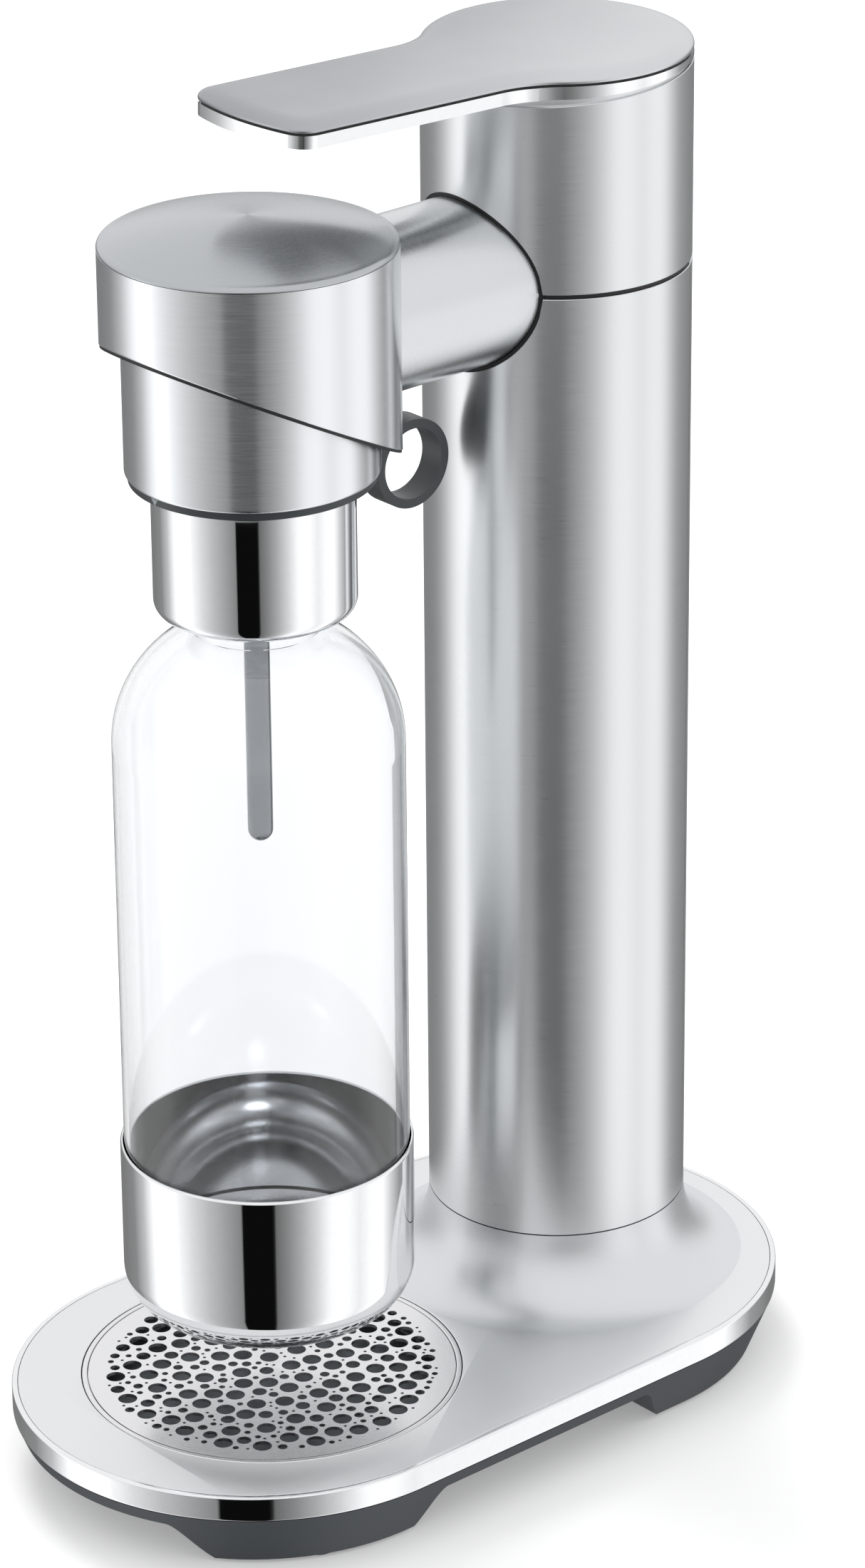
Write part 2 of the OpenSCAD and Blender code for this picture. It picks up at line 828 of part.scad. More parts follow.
module nozzle_oring() {
    color("#1f2123") translate([0, head_y, receiver_z - nozzle_drop / 2]) rotate_extrude()
        translate([nozzle_r + oring_r, 0]) circle(r = oring_r);
}

// Rear cover and its button
module rear_cover() {
    color("#c3c5c7") difference() {
        at_column() intersection() {
            tube(col_r, col_in, shell_z, shell_top);
            rear_wedge(rear_angle - cover_play, shell_z - over, shell_top + over);
        }
        along_y(button_r + fit, col_y + col_in - button_in, col_y + col_r + over, button_z);
    }
}

module rear_latch() {
    y_in = col_y + col_in - button_in;
    color("#34393c") {
        along_y(button_r, y_in, col_y + col_r + button_proud, button_z);
        along_y(button_head_r, y_in, y_in + button_head_t, button_z);
    }
}

// Gas cylinder
module gas_cylinder() {
    top = gas_shoulder_z;
    neck_z = valve_z - gas_neck_h;
    foot = arc_points([gas_r - gas_foot_round, gas_z + gas_foot_round], gas_foot_round, -90, 0);
    shoulder = shoulder_points(gas_r, top, gas_neck_r, neck_z);
    outline = concat([[0, gas_z]], foot, shoulder, [[gas_neck_r, valve_z], [0, valve_z]]);
    color("#7d8f9c") at_column() difference() {
        rotate_extrude() polygon(outline);
        translate([0, 0, gas_z + gas_wall]) cylinder(r = gas_r - gas_wall, h = top - gas_z - gas_wall);
    }
}

module cylinder_valve() {
    color("#c8a85a") at_column() difference() {
        translate([0, 0, valve_z]) cylinder(r = valve_r, h = valve_h);
        translate([0, 0, valve_top - flange_t]) cylinder(r = channel_r + fit, h = flange_t + over);
    }
}

// Plunger
module plunger() {
    top = lever_ceiling - fit;
    collar_top = top - plunger_tip_h;
    color("#b7babc") at_column() {
        translate([0, 0, plunger_low]) cylinder(r = plunger_r, h = collar_top - plunger_low);
        translate([0, 0, collar_top]) cylinder(r = plunger_tip_r, h = plunger_tip_h);
        translate([0, 0, collar_top - plunger_collar_h])
            cylinder(r = plunger_collar_r, h = plunger_collar_h);
    }
}

module valve_pin() {
    low = valve_top + fit;
    high = plunger_low - snug;
    color("#b7babc") at_column() translate([0, 0, low]) cylinder(r = valve_pin_r, h = high - low);
}

// A closed sweep of a small polygon along a helix
module coil(mean_r, wire_r, turns, height) {
    n = turns * spring_turn_steps;
    points = [for (i = [0:n], k = [0:spring_sides - 1]) let (
        a = 360 * i / spring_turn_steps,
        b = 360 * k / spring_sides,
        r = mean_r + wire_r * cos(b))
        [r * cos(a), r * sin(a), height * i / n + wire_r * sin(b)]];
    sides = [for (i = [0:n - 1], k = [0:spring_sides - 1], half = [0, 1]) let (
        a = i * spring_sides + k,
        b = i * spring_sides + (k + 1) % spring_sides)
        half == 0 ? [a, a + spring_sides, b] : [b, a + spring_sides, b + spring_sides]];
    first = [for (k = [0:spring_sides - 1]) k];
    last = [for (k = [spring_sides - 1:-1:0]) n * spring_sides + k];
    polyhedron(points, concat(sides, [first], [last]));
}

module plunger_spring() {
    low = block_top + snug + top_deck_t + spring_wire + snug;
    high = lever_ceiling - fit - plunger_tip_h - plunger_collar_h - spring_wire - snug;
    color("#b7babc") at_column() translate([0, 0, low])
        coil(plunger_r + spring_wire + fit, spring_wire, spring_turns, high - low);
}

// Lever: flat outlines are drawn round the column's axis
module bay_cuts(inset) {
    r = bay_r + inset;
    x = lever_w + bay_r;
    y = -sqrt(pow(col_r + bay_r, 2) - x * x);
    for (side = [-1, 1]) translate([side * x, y]) circle(r = r);
}

module lever_disc(inset) {
    x = lever_w + bay_r;
    y = sqrt(pow(col_r + bay_r, 2) - x * x);
    reach_x = x * col_r / (col_r + bay_r);
    reach_y = y * col_r / (col_r + bay_r);
    intersection() {
        difference() {
            union() {
                circle(r = col_r - inset);
                polygon([[reach_x, -reach_y], [lever_w, -y], [-lever_w, -y], [-reach_x, -reach_y]]);
            }
            bay_cuts(inset);
        }
        translate([-far / 2, -fold_y]) square([far, far]);
    }
}

module lever_handle(inset) {
    w = lever_w - inset;
    r = corner_r - inset;
    big = tip_r - inset;
    big_y = -lever_l + tip_r;
    corner_x = lever_w - corner_r;
    corner_y = big_y - sqrt(pow(tip_r - corner_r, 2) - corner_x * corner_x);
    edge_x = corner_x * big / (tip_r - corner_r);
    edge_y = big_y - sqrt(big * big - edge_x * edge_x);
    x = lever_w + bay_r;
    bay_y = sqrt(pow(col_r + bay_r, 2) - x * x);
    difference() {
        union() {
            translate([-w, corner_y]) square([2 * w, -corner_y - bay_y]);
            translate([-col_r, -bay_y]) square([2 * col_r, bay_y - fold_y + fold_lap]);
            polygon([[-w, corner_y], [w, corner_y], [edge_x, edge_y], [-edge_x, edge_y]]);
            for (side = [-1, 1]) translate([side * corner_x, corner_y]) circle(r = r);
            intersection() {
                translate([0, big_y]) circle(r = big);
                translate([-edge_x, -2 * lever_l]) square([2 * edge_x, 2 * lever_l + corner_y]);
            }
        }
        bay_cuts(inset);
    }
}

// A layer of the lever, from z0 up to z1, with the handle sloping up from the fold
module lever_layer(inset, z0, z1) {
    translate([0, col_y, z0]) linear_extrude(z1 - z0) lever_disc(inset);
    translate([0, col_y - fold_y, seam_low]) rotate([-handle_slope, 0, 0])
        translate([0, fold_y, z0 - seam_low]) linear_extrude(z1 - z0) lever_handle(inset);
}

module lever_cover() {
    top = cover_z + lever_cover_t;
    color("#d2d3d4") {
        lever_layer(0, cover_z, top - cover_round);
        lever_layer(cover_round / 3, top - cover_round, top - cover_round / 2);
        lever_layer(cover_round, top - cover_round / 2, top);
    }
}

module lever_seam() {
    color("#17191a") lever_layer(seam_inset, seam_low, cover_z);
}

module lever_body() {
    ear_low = pin_z - pin_r - ear_t;
    color("#e0e1e2") {
        difference() {
            lever_layer(0, seam_low - lever_body_t, seam_low);
            intersection() {
                below(col_y, slope_z, joint_slope);
                translate([-far / 2, col_y - fold_y, 0]) cube(far);
            }
            translate([0, col_y, ear_low]) cylinder(r = skirt_in, h = lever_ceiling - ear_low);
        }
        difference() {
            for (side = [0, 1]) mirror([side, 0, 0])
                translate([ear_in, col_y + pin_y - boss_half, ear_low])
                    cube([ear_t, 2 * boss_half, lever_ceiling + lever_seam_t / 2 - ear_low]);
            along_x(pin_r + snug, col_r, col_y + pin_y, pin_z);
        }
    }
}

// Cap
module cap_shell() {
    r_in = cap_r - cap_wall;
    color("#bfc1c3") at_head() rotate_extrude() polygon([
        [r_in, cap_z + snug], [cap_r - cap_edge, cap_z + snug], [cap_r, cap_z + cap_edge + snug],
        [cap_r, cap_top], [r_in, cap_top]
    ]);
}

module cap_body() {
    color("#34393c") difference() {
        union() {
            at_head() rotate_extrude() polygon([
                [0, cap_foot], [ring_foot_r, cap_foot], [ring_r, cap_foot + ring_h / 2],
                [ring_r, cap_z], [cap_in, cap_z], [cap_in, cap_top + cap_lip], [0, cap_top + cap_lip]
            ]);
            lug();
        }
        at_head() {
            translate([0, 0, cap_foot - over])
                cylinder(r = neck_hole_r, h = seal_z + seal_t + snug - cap_foot + over);
            translate([0, 0, cap_foot]) cylinder(r = wand_r + snug, h = wand_top - cap_foot + snug);
            translate([0, 0, cap_foot])
                cylinder(r = nozzle_bore_r, h = cap_top + cap_lip + over - cap_foot);
            translate([0, 0, cap_top + cap_lip - socket_drop])
                cylinder(r = nozzle_r + 2 * oring_r + snug, h = socket_drop + over);
            translate([0, relief_back, cap_foot - over])
                cylinder(r = relief_r + snug, h = relief_h + over + snug);
        }
        along_x(ring_pin_r + snug, col_r, head_y + pivot_back, cap_foot - pivot_drop);
    }
}

module lug() {
    y = head_y + pivot_back;
    z = cap_foot - pivot_drop;
    back = head_y + collar_r + lug_gap;
    along_x(lug_r, lug_half, y, z);
    translate([-lug_half, back, z - lug_r]) cube([2 * lug_half, y - back, 2 * lug_r]);
}

module cap_seal() {
    color("#1f2123") at_head() tube(neck_r, wand_r + fit, seal_z, seal_z + seal_t);
}

module wand() {
    color("#4a4f53") at_head() difference() {
        union() {
            translate([0, 0, wand_z + wand_r]) cylinder(r = wand_r, h = wand_top - wand_z - wand_r);
            translate([0, 0, wand_z + wand_r]) sphere(r = wand_r);
        }
        translate([0, 0, wand_z - over]) cylinder(r = nozzle_bore_r / 2, h = wand_top - wand_z + 2 * over);
    }
}

module ring_pin() {
    color("#8f9295") along_x(ring_pin_r, pull_w / 2, head_y + pivot_back, cap_foot - pivot_drop);
}

module pull_ring() {
    y = head_y + pivot_back;
    z = cap_foot - pivot_drop;
    ring_y = head_y + pull_y;
    ring_z = cap_foot - pull_drop;
    stem = ring_y - pull_r + pull_t - y;
    color("#3d4347") difference() {
        union() {
            along_x(pull_r, pull_w / 2, ring_y, ring_z);
            along_x(lug_r, pull_w / 2, y, z);
            translate([-pull_w / 2, y, z - lug_r]) cube([pull_w, stem, 2 * lug_r]);
        }
        along_x(pull_r - pull_t, pull_w, ring_y, ring_z);
        translate([-lug_half - fork_gap, y - 2 * lug_r, z - 2 * lug_r])
            cube([2 * (lug_half + fork_gap), 3 * lug_r + fork_gap, 4 * lug_r]);
        along_x(ring_pin_r + snug, pull_w, y, z);
    }
}

module relief_valve() {
    color("#c8a85a") translate([0, head_y + relief_back, cap_foot]) cylinder(r = relief_r, h = relief_h);
}

// Bottle
module bottle() {
    t = bottle_wall;
    r = bottle_r;
    foot = arc_points([r - bottle_round, bottle_foot + bottle_round], bottle_round, -90, 0);
    foot_in = arc_points([r - bottle_round, bottle_foot + bottle_round], bottle_round - t, -90, 0);
    punt = dome_points(punt_r, bottle_foot, punt_h);
    punt_in = [for (p = punt) [p[0], p[1] + t]];
    rise = round_shoulder(r, shoulder_z, neck_r, shoulder_z + shoulder_run);
    rise_in = [for (p = rise) [p[0] - t, p[1] - t]];
    outside = concat(punt, foot, rise, [[neck_r, neck_top]]);
    inside = concat(punt_in, foot_in, rise_in, [[neck_r - t, neck_top]]);
    color("#dfe5e6", 0.4) at_head() rotate_extrude() polygon(concat(outside, reversed(inside)));
}

module bottle_collar() {
    z1 = cap_foot - fit;
    t = collar_t;
    r_in = neck_r + snug;
    mid = [collar_r - collar_round, neck_z + collar_round];
    outside = concat([[r_in, neck_z]], arc_points(mid, collar_round, -90, 0), [[collar_r, z1], [r_in, z1]]);
    inside = concat([[r_in, z1 - t], [collar_r - t, z1 - t]], arc_points(mid, collar_round - t, 0, -90),
        [[r_in, neck_z + t]]);
    color("#dcddde") at_head() rotate_extrude() polygon(concat(outside, inside));
}

module bottle_cup() {
    mid = [cup_r - cup_round, bottle_z + cup_round];
    outside = concat([[0, bottle_z]], arc_points(mid, cup_round, -90, 0), [[cup_r, bottle_z + cup_h]]);
    inside = concat([[0, bottle_z + cup_t]], arc_points(mid, cup_round - cup_t, -90, 0),
        [[cup_r - cup_t, bottle_z + cup_h]]);
    color("#e0e1e2") at_head() rotate_extrude() polygon(concat(outside, reversed(inside)));
}

base_cover();
base_band();
base_housing();
base_floor();
base_screws();
rubber_feet();
drip_tray();
drip_grille();
column_shell();
column_sleeve();
column_gasket();
spine();
cylinder_seat();
regulator_block();
socket_washer();
top_deck();
deck_screws();
lever_pin();
arm_sleeve();
arm_core();
arm_gasket();
gas_tube();
head_shell();
head_dome();
receiver();
receiver_screws();
latch_ring();
nozzle();
nozzle_oring();
rear_cover();
rear_latch();
gas_cylinder();
cylinder_valve();
plunger();
plunger_spring();
valve_pin();
lever_cover();
lever_body();
lever_seam();
cap_shell();
cap_body();
cap_seal();
wand();
ring_pin();
pull_ring();
relief_valve();
bottle();
bottle_collar();
bottle_cup();
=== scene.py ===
# %% [markdown]
# # A sparkling water maker, dressed for the camera
# The CAD frame already has every solid at its true size. This lesson gives it a surface that a
# buyer would recognise: brushed steel, polished chrome, moulded plastic and a clear bottle.
# Each cell makes one piece or one finish, and says why it is made that way. Lengths are written
# in mm and become metres by MM. Two upright axes carry the round pieces: the column's axis, and
# the axis that the head, the bottle and the tray share.

# %% Load the frame
import bmesh
import bpy
import math
import random
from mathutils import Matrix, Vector


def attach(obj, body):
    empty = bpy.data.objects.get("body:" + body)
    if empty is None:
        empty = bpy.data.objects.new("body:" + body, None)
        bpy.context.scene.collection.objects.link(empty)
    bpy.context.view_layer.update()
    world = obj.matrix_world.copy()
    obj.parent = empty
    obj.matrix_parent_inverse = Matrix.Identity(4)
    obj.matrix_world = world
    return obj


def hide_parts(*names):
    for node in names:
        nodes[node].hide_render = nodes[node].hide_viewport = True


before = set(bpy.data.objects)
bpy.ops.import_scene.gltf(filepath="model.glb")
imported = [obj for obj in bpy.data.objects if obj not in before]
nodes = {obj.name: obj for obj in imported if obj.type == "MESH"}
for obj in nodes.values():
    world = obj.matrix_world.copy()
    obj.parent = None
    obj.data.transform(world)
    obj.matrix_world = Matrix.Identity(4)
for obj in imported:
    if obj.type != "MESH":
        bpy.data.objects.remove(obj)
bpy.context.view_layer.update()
MM = 0.001
COLUMN_Y, HEAD_Y = 65, -52

# %% [markdown]
# ## The camera
# The photograph was taken from the front right, looking down by about 24 degrees, with a long
# lens: the upright lines stay almost parallel. The place and the lens come from matching the
# round outlines of the base, the tray and the column. The Standard view keeps the steel's
# contrast as the shader gives it.

# %% Camera
lens = bpy.data.cameras.new("camera")
lens.sensor_width = 36
lens.lens = 139.1
lens.shift_x = -0.0758
lens.shift_y = -0.0023
lens.clip_end = 30
camera = bpy.data.objects.new("camera", lens)
camera.location = (1.2525, -1.0740, 0.9384)
camera.rotation_euler = (math.radians(66.06), 0, math.radians(47.77))
bpy.context.scene.collection.objects.link(camera)
bpy.context.scene.camera = camera
bpy.context.scene.view_settings.view_transform = "Standard"
print("camera at", [round(v, 3) for v in camera.location])

# %% [markdown]
# ## Helpers for colour and for nodes
# Hex colours are written for a screen. Light adds up in linear values, so each one is turned to
# linear once, here. One small function adds a node, and the others name the few kinds of node
# that every finish is made of, so that a finish reads as a short recipe.

# %% Colour and node helpers
def linear(code):
    """Turns a screen colour such as c0c4c8 into the linear colour that a shader wants."""
    out = []
    for k in (0, 2, 4):
        v = int(code[k:k + 2], 16) / 255
        out.append(v / 12.92 if v <= 0.04045 else ((v + 0.055) / 1.055) ** 2.4)
    return (*out, 1)


def scaled(code, factor):
    """The linear colour of a hex code, made darker or lighter by a factor."""
    return (*(min(1, c * factor) for c in linear(code)[:3]), 1)


def add(tree, kind, values=None):
    """Adds a node. A key names an input or a property, and an output as a value makes a link."""
    node = tree.nodes.new(kind)
    for key, value in (values or {}).items():
        if isinstance(value, bpy.types.NodeSocket):
            tree.links.new(value, node.inputs[key])
        elif isinstance(key, int) or key in node.inputs:
            node.inputs[key].default_value = value
        else:
            setattr(node, key, value)
    return node


def calc(tree, operation, *values):
    """Result of one Math node. Each value is a number or an output of another node."""
    return add(tree, "ShaderNodeMath", {"operation": operation, **dict(enumerate(values))}).outputs[0]


def vector_calc(tree, operation, *values):
    """Result of one Vector Math node: a number for LENGTH and DOT_PRODUCT, otherwise a vector."""
    node = add(tree, "ShaderNodeVectorMath", {"operation": operation, **dict(enumerate(values))})
    return node.outputs["Value" if operation in ("LENGTH", "DOT_PRODUCT") else "Vector"]


def remap(tree, value, low, high, start=0.0, end=1.0, curve="LINEAR"):
    """Turns a value that runs from start to end into one that runs from low to high."""
    return add(tree, "ShaderNodeMapRange", {"interpolation_type": curve, "From Min": start, "From Max": end,
                                            "To Min": low, "To Max": high, "Value": value}).outputs["Result"]


def noise(tree, place, scale, detail, roughness=0.5):
    """Noise whose waves are about 1 / scale long, in the unit of the place."""
    return add(tree, "ShaderNodeTexNoise", {"Scale": scale, "Detail": detail, "Roughness": roughness,
                                            "Vector": place}).outputs["Fac"]


def blend(tree, share, first, second, kind="RGBA"):
    """Mixes two colours by a share, or two numbers when the kind is FLOAT."""
    a, b, result = (6, 7, 2) if kind == "RGBA" else (2, 3, 0)
    return add(tree, "ShaderNodeMix", {"data_type": kind, 0: share, a: first, b: second}).outputs[result]


def bumps(tree, height, strength, distance):
    """Small bumps from a height. The distance is in metres."""
    return add(tree, "ShaderNodeBump", {"Strength": strength, "Distance": distance,
                                        "Height": height}).outputs["Normal"]


def fresh_material(name):
    """An empty material, its node tree and the coordinates of the piece that wears it."""
    material = bpy.data.materials.new(name)
    material.use_nodes = True
    tree = material.node_tree
    tree.nodes.clear()
    return material, tree, add(tree, "ShaderNodeTexCoord").outputs["Object"]


def principled(material, values):
    """Ends a material with one Principled shader, and returns the material."""
    shader = add(material.node_tree, "ShaderNodeBsdfPrincipled", values)
    add(material.node_tree, "ShaderNodeOutputMaterial", {"Surface": shader.outputs[0]})
    return material


print("colour and node helpers ready")

# %% [markdown]
# ## The studio
# Metal has hardly any colour of its own: what it shows is the room. The upright bright and dark
# bands on the column and the black stripe on the chrome are a photographer's white screens and
# black flags. Here they are painted on the world, as one ring of light values round the object,
# with one black flag near the camera. Above the horizon the ring blends into a plain bright
# ceiling, which the level surfaces show. The camera itself, also through the bottle, sees a
# plain white backdrop there. Angles in the ring are in degrees from the camera's side, and
# heights are those of a view direction one unit long.

# %% Studio world
middle_y = 6
flag_from, flag_to, flag_fade = -19.5, 6.5, 1
flag_top_from, flag_top_to = -0.29, -0.23
ceiling_from, ceiling_to = -0.22, 0.12
flag_colour, ceiling_colour = (0.004, 0.004, 0.004, 1), (1.0, 1.0, 1.005, 1)
ring = [
    (-180, 0.20), (-150, 0.22), (-128, 0.28), (-112, 0.60), (-97, 1.30), (-84, 1.60), (-72, 1.10),
    (-60, 0.82), (-46, 0.58), (-30, 0.38), (-19, 0.26), (6, 0.15), (16, 0.28),
    (26, 0.46), (38, 0.76), (50, 1.15), (62, 1.22), (76, 1.00), (88, 1.18), (100, 1.22),
    (112, 0.72), (124, 0.36), (150, 0.22), (180, 0.20)
]
camera_side = math.atan2(camera.location.y - middle_y * MM, camera.location.x)
world = bpy.data.worlds.new("studio")
bpy.context.scene.world = world
world.use_nodes = True
wt = world.node_tree
wt.nodes.clear()
direction = add(wt, "ShaderNodeTexCoord").outputs["Generated"]
split = add(wt, "ShaderNodeSeparateXYZ", {"Vector": direction}).outputs
turned = calc(wt, "SUBTRACT", calc(wt, "ARCTAN2", split["Y"], split["X"]), camera_side)
wrapped = calc(wt, "WRAP", turned, math.pi, -math.pi)
share = remap(wt, wrapped, 0, 1, -math.pi, math.pi)

bands = add(wt, "ShaderNodeValToRGB", {"Fac": share})
stops = bands.color_ramp.elements
stops[0].position, stops[1].position = 0, 1
for degrees, _ in ring[1:-1]:
    stops.new((degrees + 180) / 360)
for stop, (_, value) in zip(stops, ring):
    stop.color = (value, value * 1.002, value * 1.006, 1)

flag = add(wt, "ShaderNodeValToRGB", {"Fac": share})
flag_stops = flag.color_ramp.elements
for stop, degrees in zip(flag_stops, (flag_from, flag_to)):
    stop.position = (180 + degrees) / 360
    stop.color = (1, 1, 1, 1)
for degrees in (flag_from + flag_fade, flag_to - flag_fade):
    flag_stops.new((180 + degrees) / 360).color = (0, 0, 0, 1)
above_flag = remap(wt, split["Z"], 0, 1, flag_top_from, flag_top_to)
clear_of_flag = calc(wt, "MAXIMUM", flag.outputs["Color"], above_flag)
flagged = blend(wt, clear_of_flag, flag_colour, bands.outputs["Color"])
height = remap(wt, split["Z"], 0, 1, ceiling_from, ceiling_to, "SMOOTHSTEP")
ceiling = blend(wt, height, flagged, ceiling_colour)

glow = add(wt, "ShaderNodeBackground", {"Strength": 1.0, "Color": ceiling})
backdrop = add(wt, "ShaderNodeBackground", {"Strength": 1.0, "Color": (1, 1, 1, 1)})
look = add(wt, "ShaderNodeLightPath").outputs
behind = calc(wt, "MAXIMUM", look["Is Camera Ray"], look["Is Transmission Ray"])
room = add(wt, "ShaderNodeMixShader", {0: behind, 1: glow.outputs[0], 2: backdrop.outputs[0]})
add(wt, "ShaderNodeOutputWorld", {"Surface": room.outputs[0]})
print("studio ring has", len(ring), "light values")

# %% [markdown]
# ## The floor and the lamp
# The floor is a plain pale sheet. A large soft lamp high up, behind on the left, gives the soft
# shadow that the photograph shows on the right. The floor's own faint glow lifts it to white
# behind the object and keeps the shadow. Metal sees the studio ring instead of the sheet, because on the
# photograph the upright bands run down to the foot of every piece.

# %% Floor and lamp
floor_half, floor_glow = 9, 0.25
sheet = bpy.data.meshes.new("floor")
sheet.from_pydata([(-floor_half, -floor_half, 0), (floor_half, -floor_half, 0),
                   (floor_half, floor_half, 0), (-floor_half, floor_half, 0)], [], [(0, 1, 2, 3)])
floor = bpy.data.objects.new("floor", sheet)
bpy.context.scene.collection.objects.link(floor)
floor.visible_glossy = False
paper, pt, place = fresh_material("studio_paper")
tone = remap(pt, noise(pt, place, 900, 2), 0.79, 0.82)
matte = add(pt, "ShaderNodeBsdfDiffuse", {"Color": tone})
path = add(pt, "ShaderNodeLightPath").outputs
seen = calc(pt, "MAXIMUM", path["Is Camera Ray"], path["Is Glossy Ray"])
seen = calc(pt, "MAXIMUM", seen, path["Is Transmission Ray"])
faint = add(pt, "ShaderNodeEmission", {"Strength": calc(pt, "MULTIPLY", seen, floor_glow)})
both = add(pt, "ShaderNodeAddShader", {0: matte.outputs[0], 1: faint.outputs[0]})
add(pt, "ShaderNodeOutputMaterial", {"Surface": both.outputs[0]})
sheet.materials.append(paper)

lamp_data = bpy.data.lights.new("soft_lamp", "AREA")
lamp_data.shape = "DISK"
lamp_data.size = 1.1
lamp_data.energy = 26
lamp = bpy.data.objects.new("soft_lamp", lamp_data)
lamp.location = (-1.5, 0.5, 2.3)
lamp_target = Vector((0, 0, 0.1))
lamp.rotation_euler = (lamp_target - lamp.location).to_track_quat("-Z", "Y").to_euler()
lamp.visible_glossy = False
bpy.context.scene.collection.objects.link(lamp)
print("floor and one soft lamp of", lamp_data.energy, "W")

# %% [markdown]
# ## Brushed stainless steel
# Brushing leaves fine parallel scratches. Along them the steel is almost a mirror, across them
# it scatters, so a light is drawn out into a streak across the grain. The tangent of the shader
# runs across the grain. The scratches of real sheet are about 0.05 mm wide, too fine to show, so
# they are drawn 0.25 mm wide. They change the roughness and the colour a little.

# %% Brushed steel
straight_grains = {"arm": ((25, 4000, 25), (0, 1, 0)), "long": ((4000, 30, 4000), (1, 0, 0))}


def brushed_steel(name, colour, grain, roughness, anisotropic, centre_y=0):
    """The grain is round (rings about an upright axis), arm (rings about Y) or long (along Y)."""
    material, t, place = fresh_material(name)
    moved = vector_calc(t, "SUBTRACT", place, (0, centre_y * MM, 0))
    if grain == "round":
        flat = vector_calc(t, "MULTIPLY", moved, (1, 1, 0))
        parts = add(t, "ShaderNodeSeparateXYZ", {"Vector": moved}).outputs
        rolled = add(t, "ShaderNodeCombineXYZ", {"X": vector_calc(t, "LENGTH", flat),
                                                 "Y": calc(t, "ARCTAN2", parts["X"], parts["Y"]),
                                                 "Z": parts["Z"]}).outputs[0]
        scale = (4000, 3, 4000)
        across = vector_calc(t, "ADD", vector_calc(t, "NORMALIZE", flat), (0, 0, -1))
    else:
        rolled = moved
        scale, tangent = straight_grains[grain]
        across = add(t, "ShaderNodeCombineXYZ", dict(zip("XYZ", tangent))).outputs[0]
    fine = noise(t, vector_calc(t, "MULTIPLY", rolled, scale), 1, 2, 0.6)
    mixed = blend(t, 0.25, fine, noise(t, place, 22, 3), "FLOAT")
    return principled(material, {
        "Metallic": 1.0, "Anisotropic": anisotropic, "Tangent": across,
        "Base Color": blend(t, fine, scaled(colour, 0.97), scaled(colour, 1.03)),
        "Roughness": remap(t, mixed, roughness - 0.03, roughness + 0.03, 0.3, 0.7),
        "Normal": bumps(t, fine, 0.02, 0.00003)})


column_steel = brushed_steel("column_steel_brushed_round", "dfe1e2", "round", 0.30, 0.75, COLUMN_Y)
head_steel = brushed_steel("head_steel_brushed_round", "e3e5e7", "round", 0.24, 0.78, HEAD_Y)
# the dome's steel is a darker copy of the head's steel: painted shade on the level top
dome_steel_shaded = brushed_steel("dome_steel_shaded_brushed_round", "babdc0", "round", 0.26, 0.8, HEAD_Y)
arm_steel = brushed_steel("arm_steel_brushed_round", "d9dbdd", "arm", 0.26, 0.75)
plate_steel = brushed_steel("plate_steel_brushed_long", "eaebec", "long", 0.36, 0.4)
flare_steel = brushed_steel("flare_steel_brushed_round", "dcdee0", "round", 0.32, 0.7, COLUMN_Y)
tray_metal = brushed_steel("tray_satin_steel", "e6e6e7", "round", 0.26, 0.4, HEAD_Y)
print("seven brushed steels")

# %% [markdown]
# ## Polished and satin chrome
# Polished chrome is a mirror with a faint film of handling on it, so its roughness moves between
# 0.02 and 0.05 over a few centimetres. The lever's cover is pearl chrome: a blasted surface under
# the plating, with grains of about 0.1 mm, drawn 0.4 mm wide so that they show. On the photograph
# it runs from grey at the back left to pale at the front right, mostly from the studio's light.
# A gradient in the colour stands in for that here, fixed to the piece, not to the camera.

# %% Chrome
def chrome(name, colour, low, high, grit, depth, painted_shade_colour=None):
    """Roughness moves between low and high. The last colour, where given, is a painted shade that the colour
    becomes at the back left.
    """
    material, t, place = fresh_material(name)
    grains = noise(t, place, grit, 1)
    shade = blend(t, grains, scaled(colour, 0.95), linear(colour))
    if painted_shade_colour:
        # painted shade: the colour darkens towards the back left
        slant = vector_calc(t, "DOT_PRODUCT", place, (0.9, 0.44, 0))
        across = remap(t, slant, 0, 1, -0.03, 0.065, "SMOOTHSTEP")
        shade = blend(t, across, linear(painted_shade_colour), shade)
    return principled(material, {
        "Metallic": 1.0, "Base Color": shade,
        "Roughness": remap(t, noise(t, place, 35, 3), low, high, 0.3, 0.7),
        "Normal": bumps(t, grains, depth, 0.00004)})


polished = chrome("polished_chrome", "f0f1f2", 0.02, 0.05, 500, 0.01)
# the last colour is the painted shade at the back left of the lever's cover
pearl = chrome("pearl_chrome", "d6d7d9", 0.28, 0.36, 2600, 0.2, "a6a8ab")
rod_steel = chrome("ground_rod_steel", "94979a", 0.06, 0.10, 1500, 0.03)
print("polished chrome, pearl chrome and rod steel")

# %% [markdown]
# ## Moulded plastic, rubber and paint
# The housing is dark grey ABS out of a mould with a fine spark-eroded grain, about 0.3 mm from
# pit to pit: it scatters the light and looks soft. Seals are black silicone, duller still. The
# gas cylinder has smooth enamel, and the nylon inside is a little coarser than the ABS.

# %% Plastics
def moulded(name, colour, roughness, pitch_mm, depth, coat=0.0):
    """Plastic or paint with pits pitch_mm apart, and a clear coat where coat is above 0."""
    material, t, place = fresh_material(name)
    pits = add(t, "ShaderNodeTexVoronoi", {"feature": "SMOOTH_F1", "Scale": 1 / (pitch_mm * MM),
                                           "Vector": place}).outputs["Distance"]
    drift = noise(t, place, 18, 3)
    return principled(material, {
        "IOR": 1.5, "Coat Weight": coat, "Coat Roughness": 0.1,
        "Base Color": blend(t, drift, scaled(colour, 0.85), scaled(colour, 1.15)),
        "Roughness": remap(t, drift, roughness - 0.07, roughness + 0.07),
        "Normal": bumps(t, pits, depth, 0.00006)})


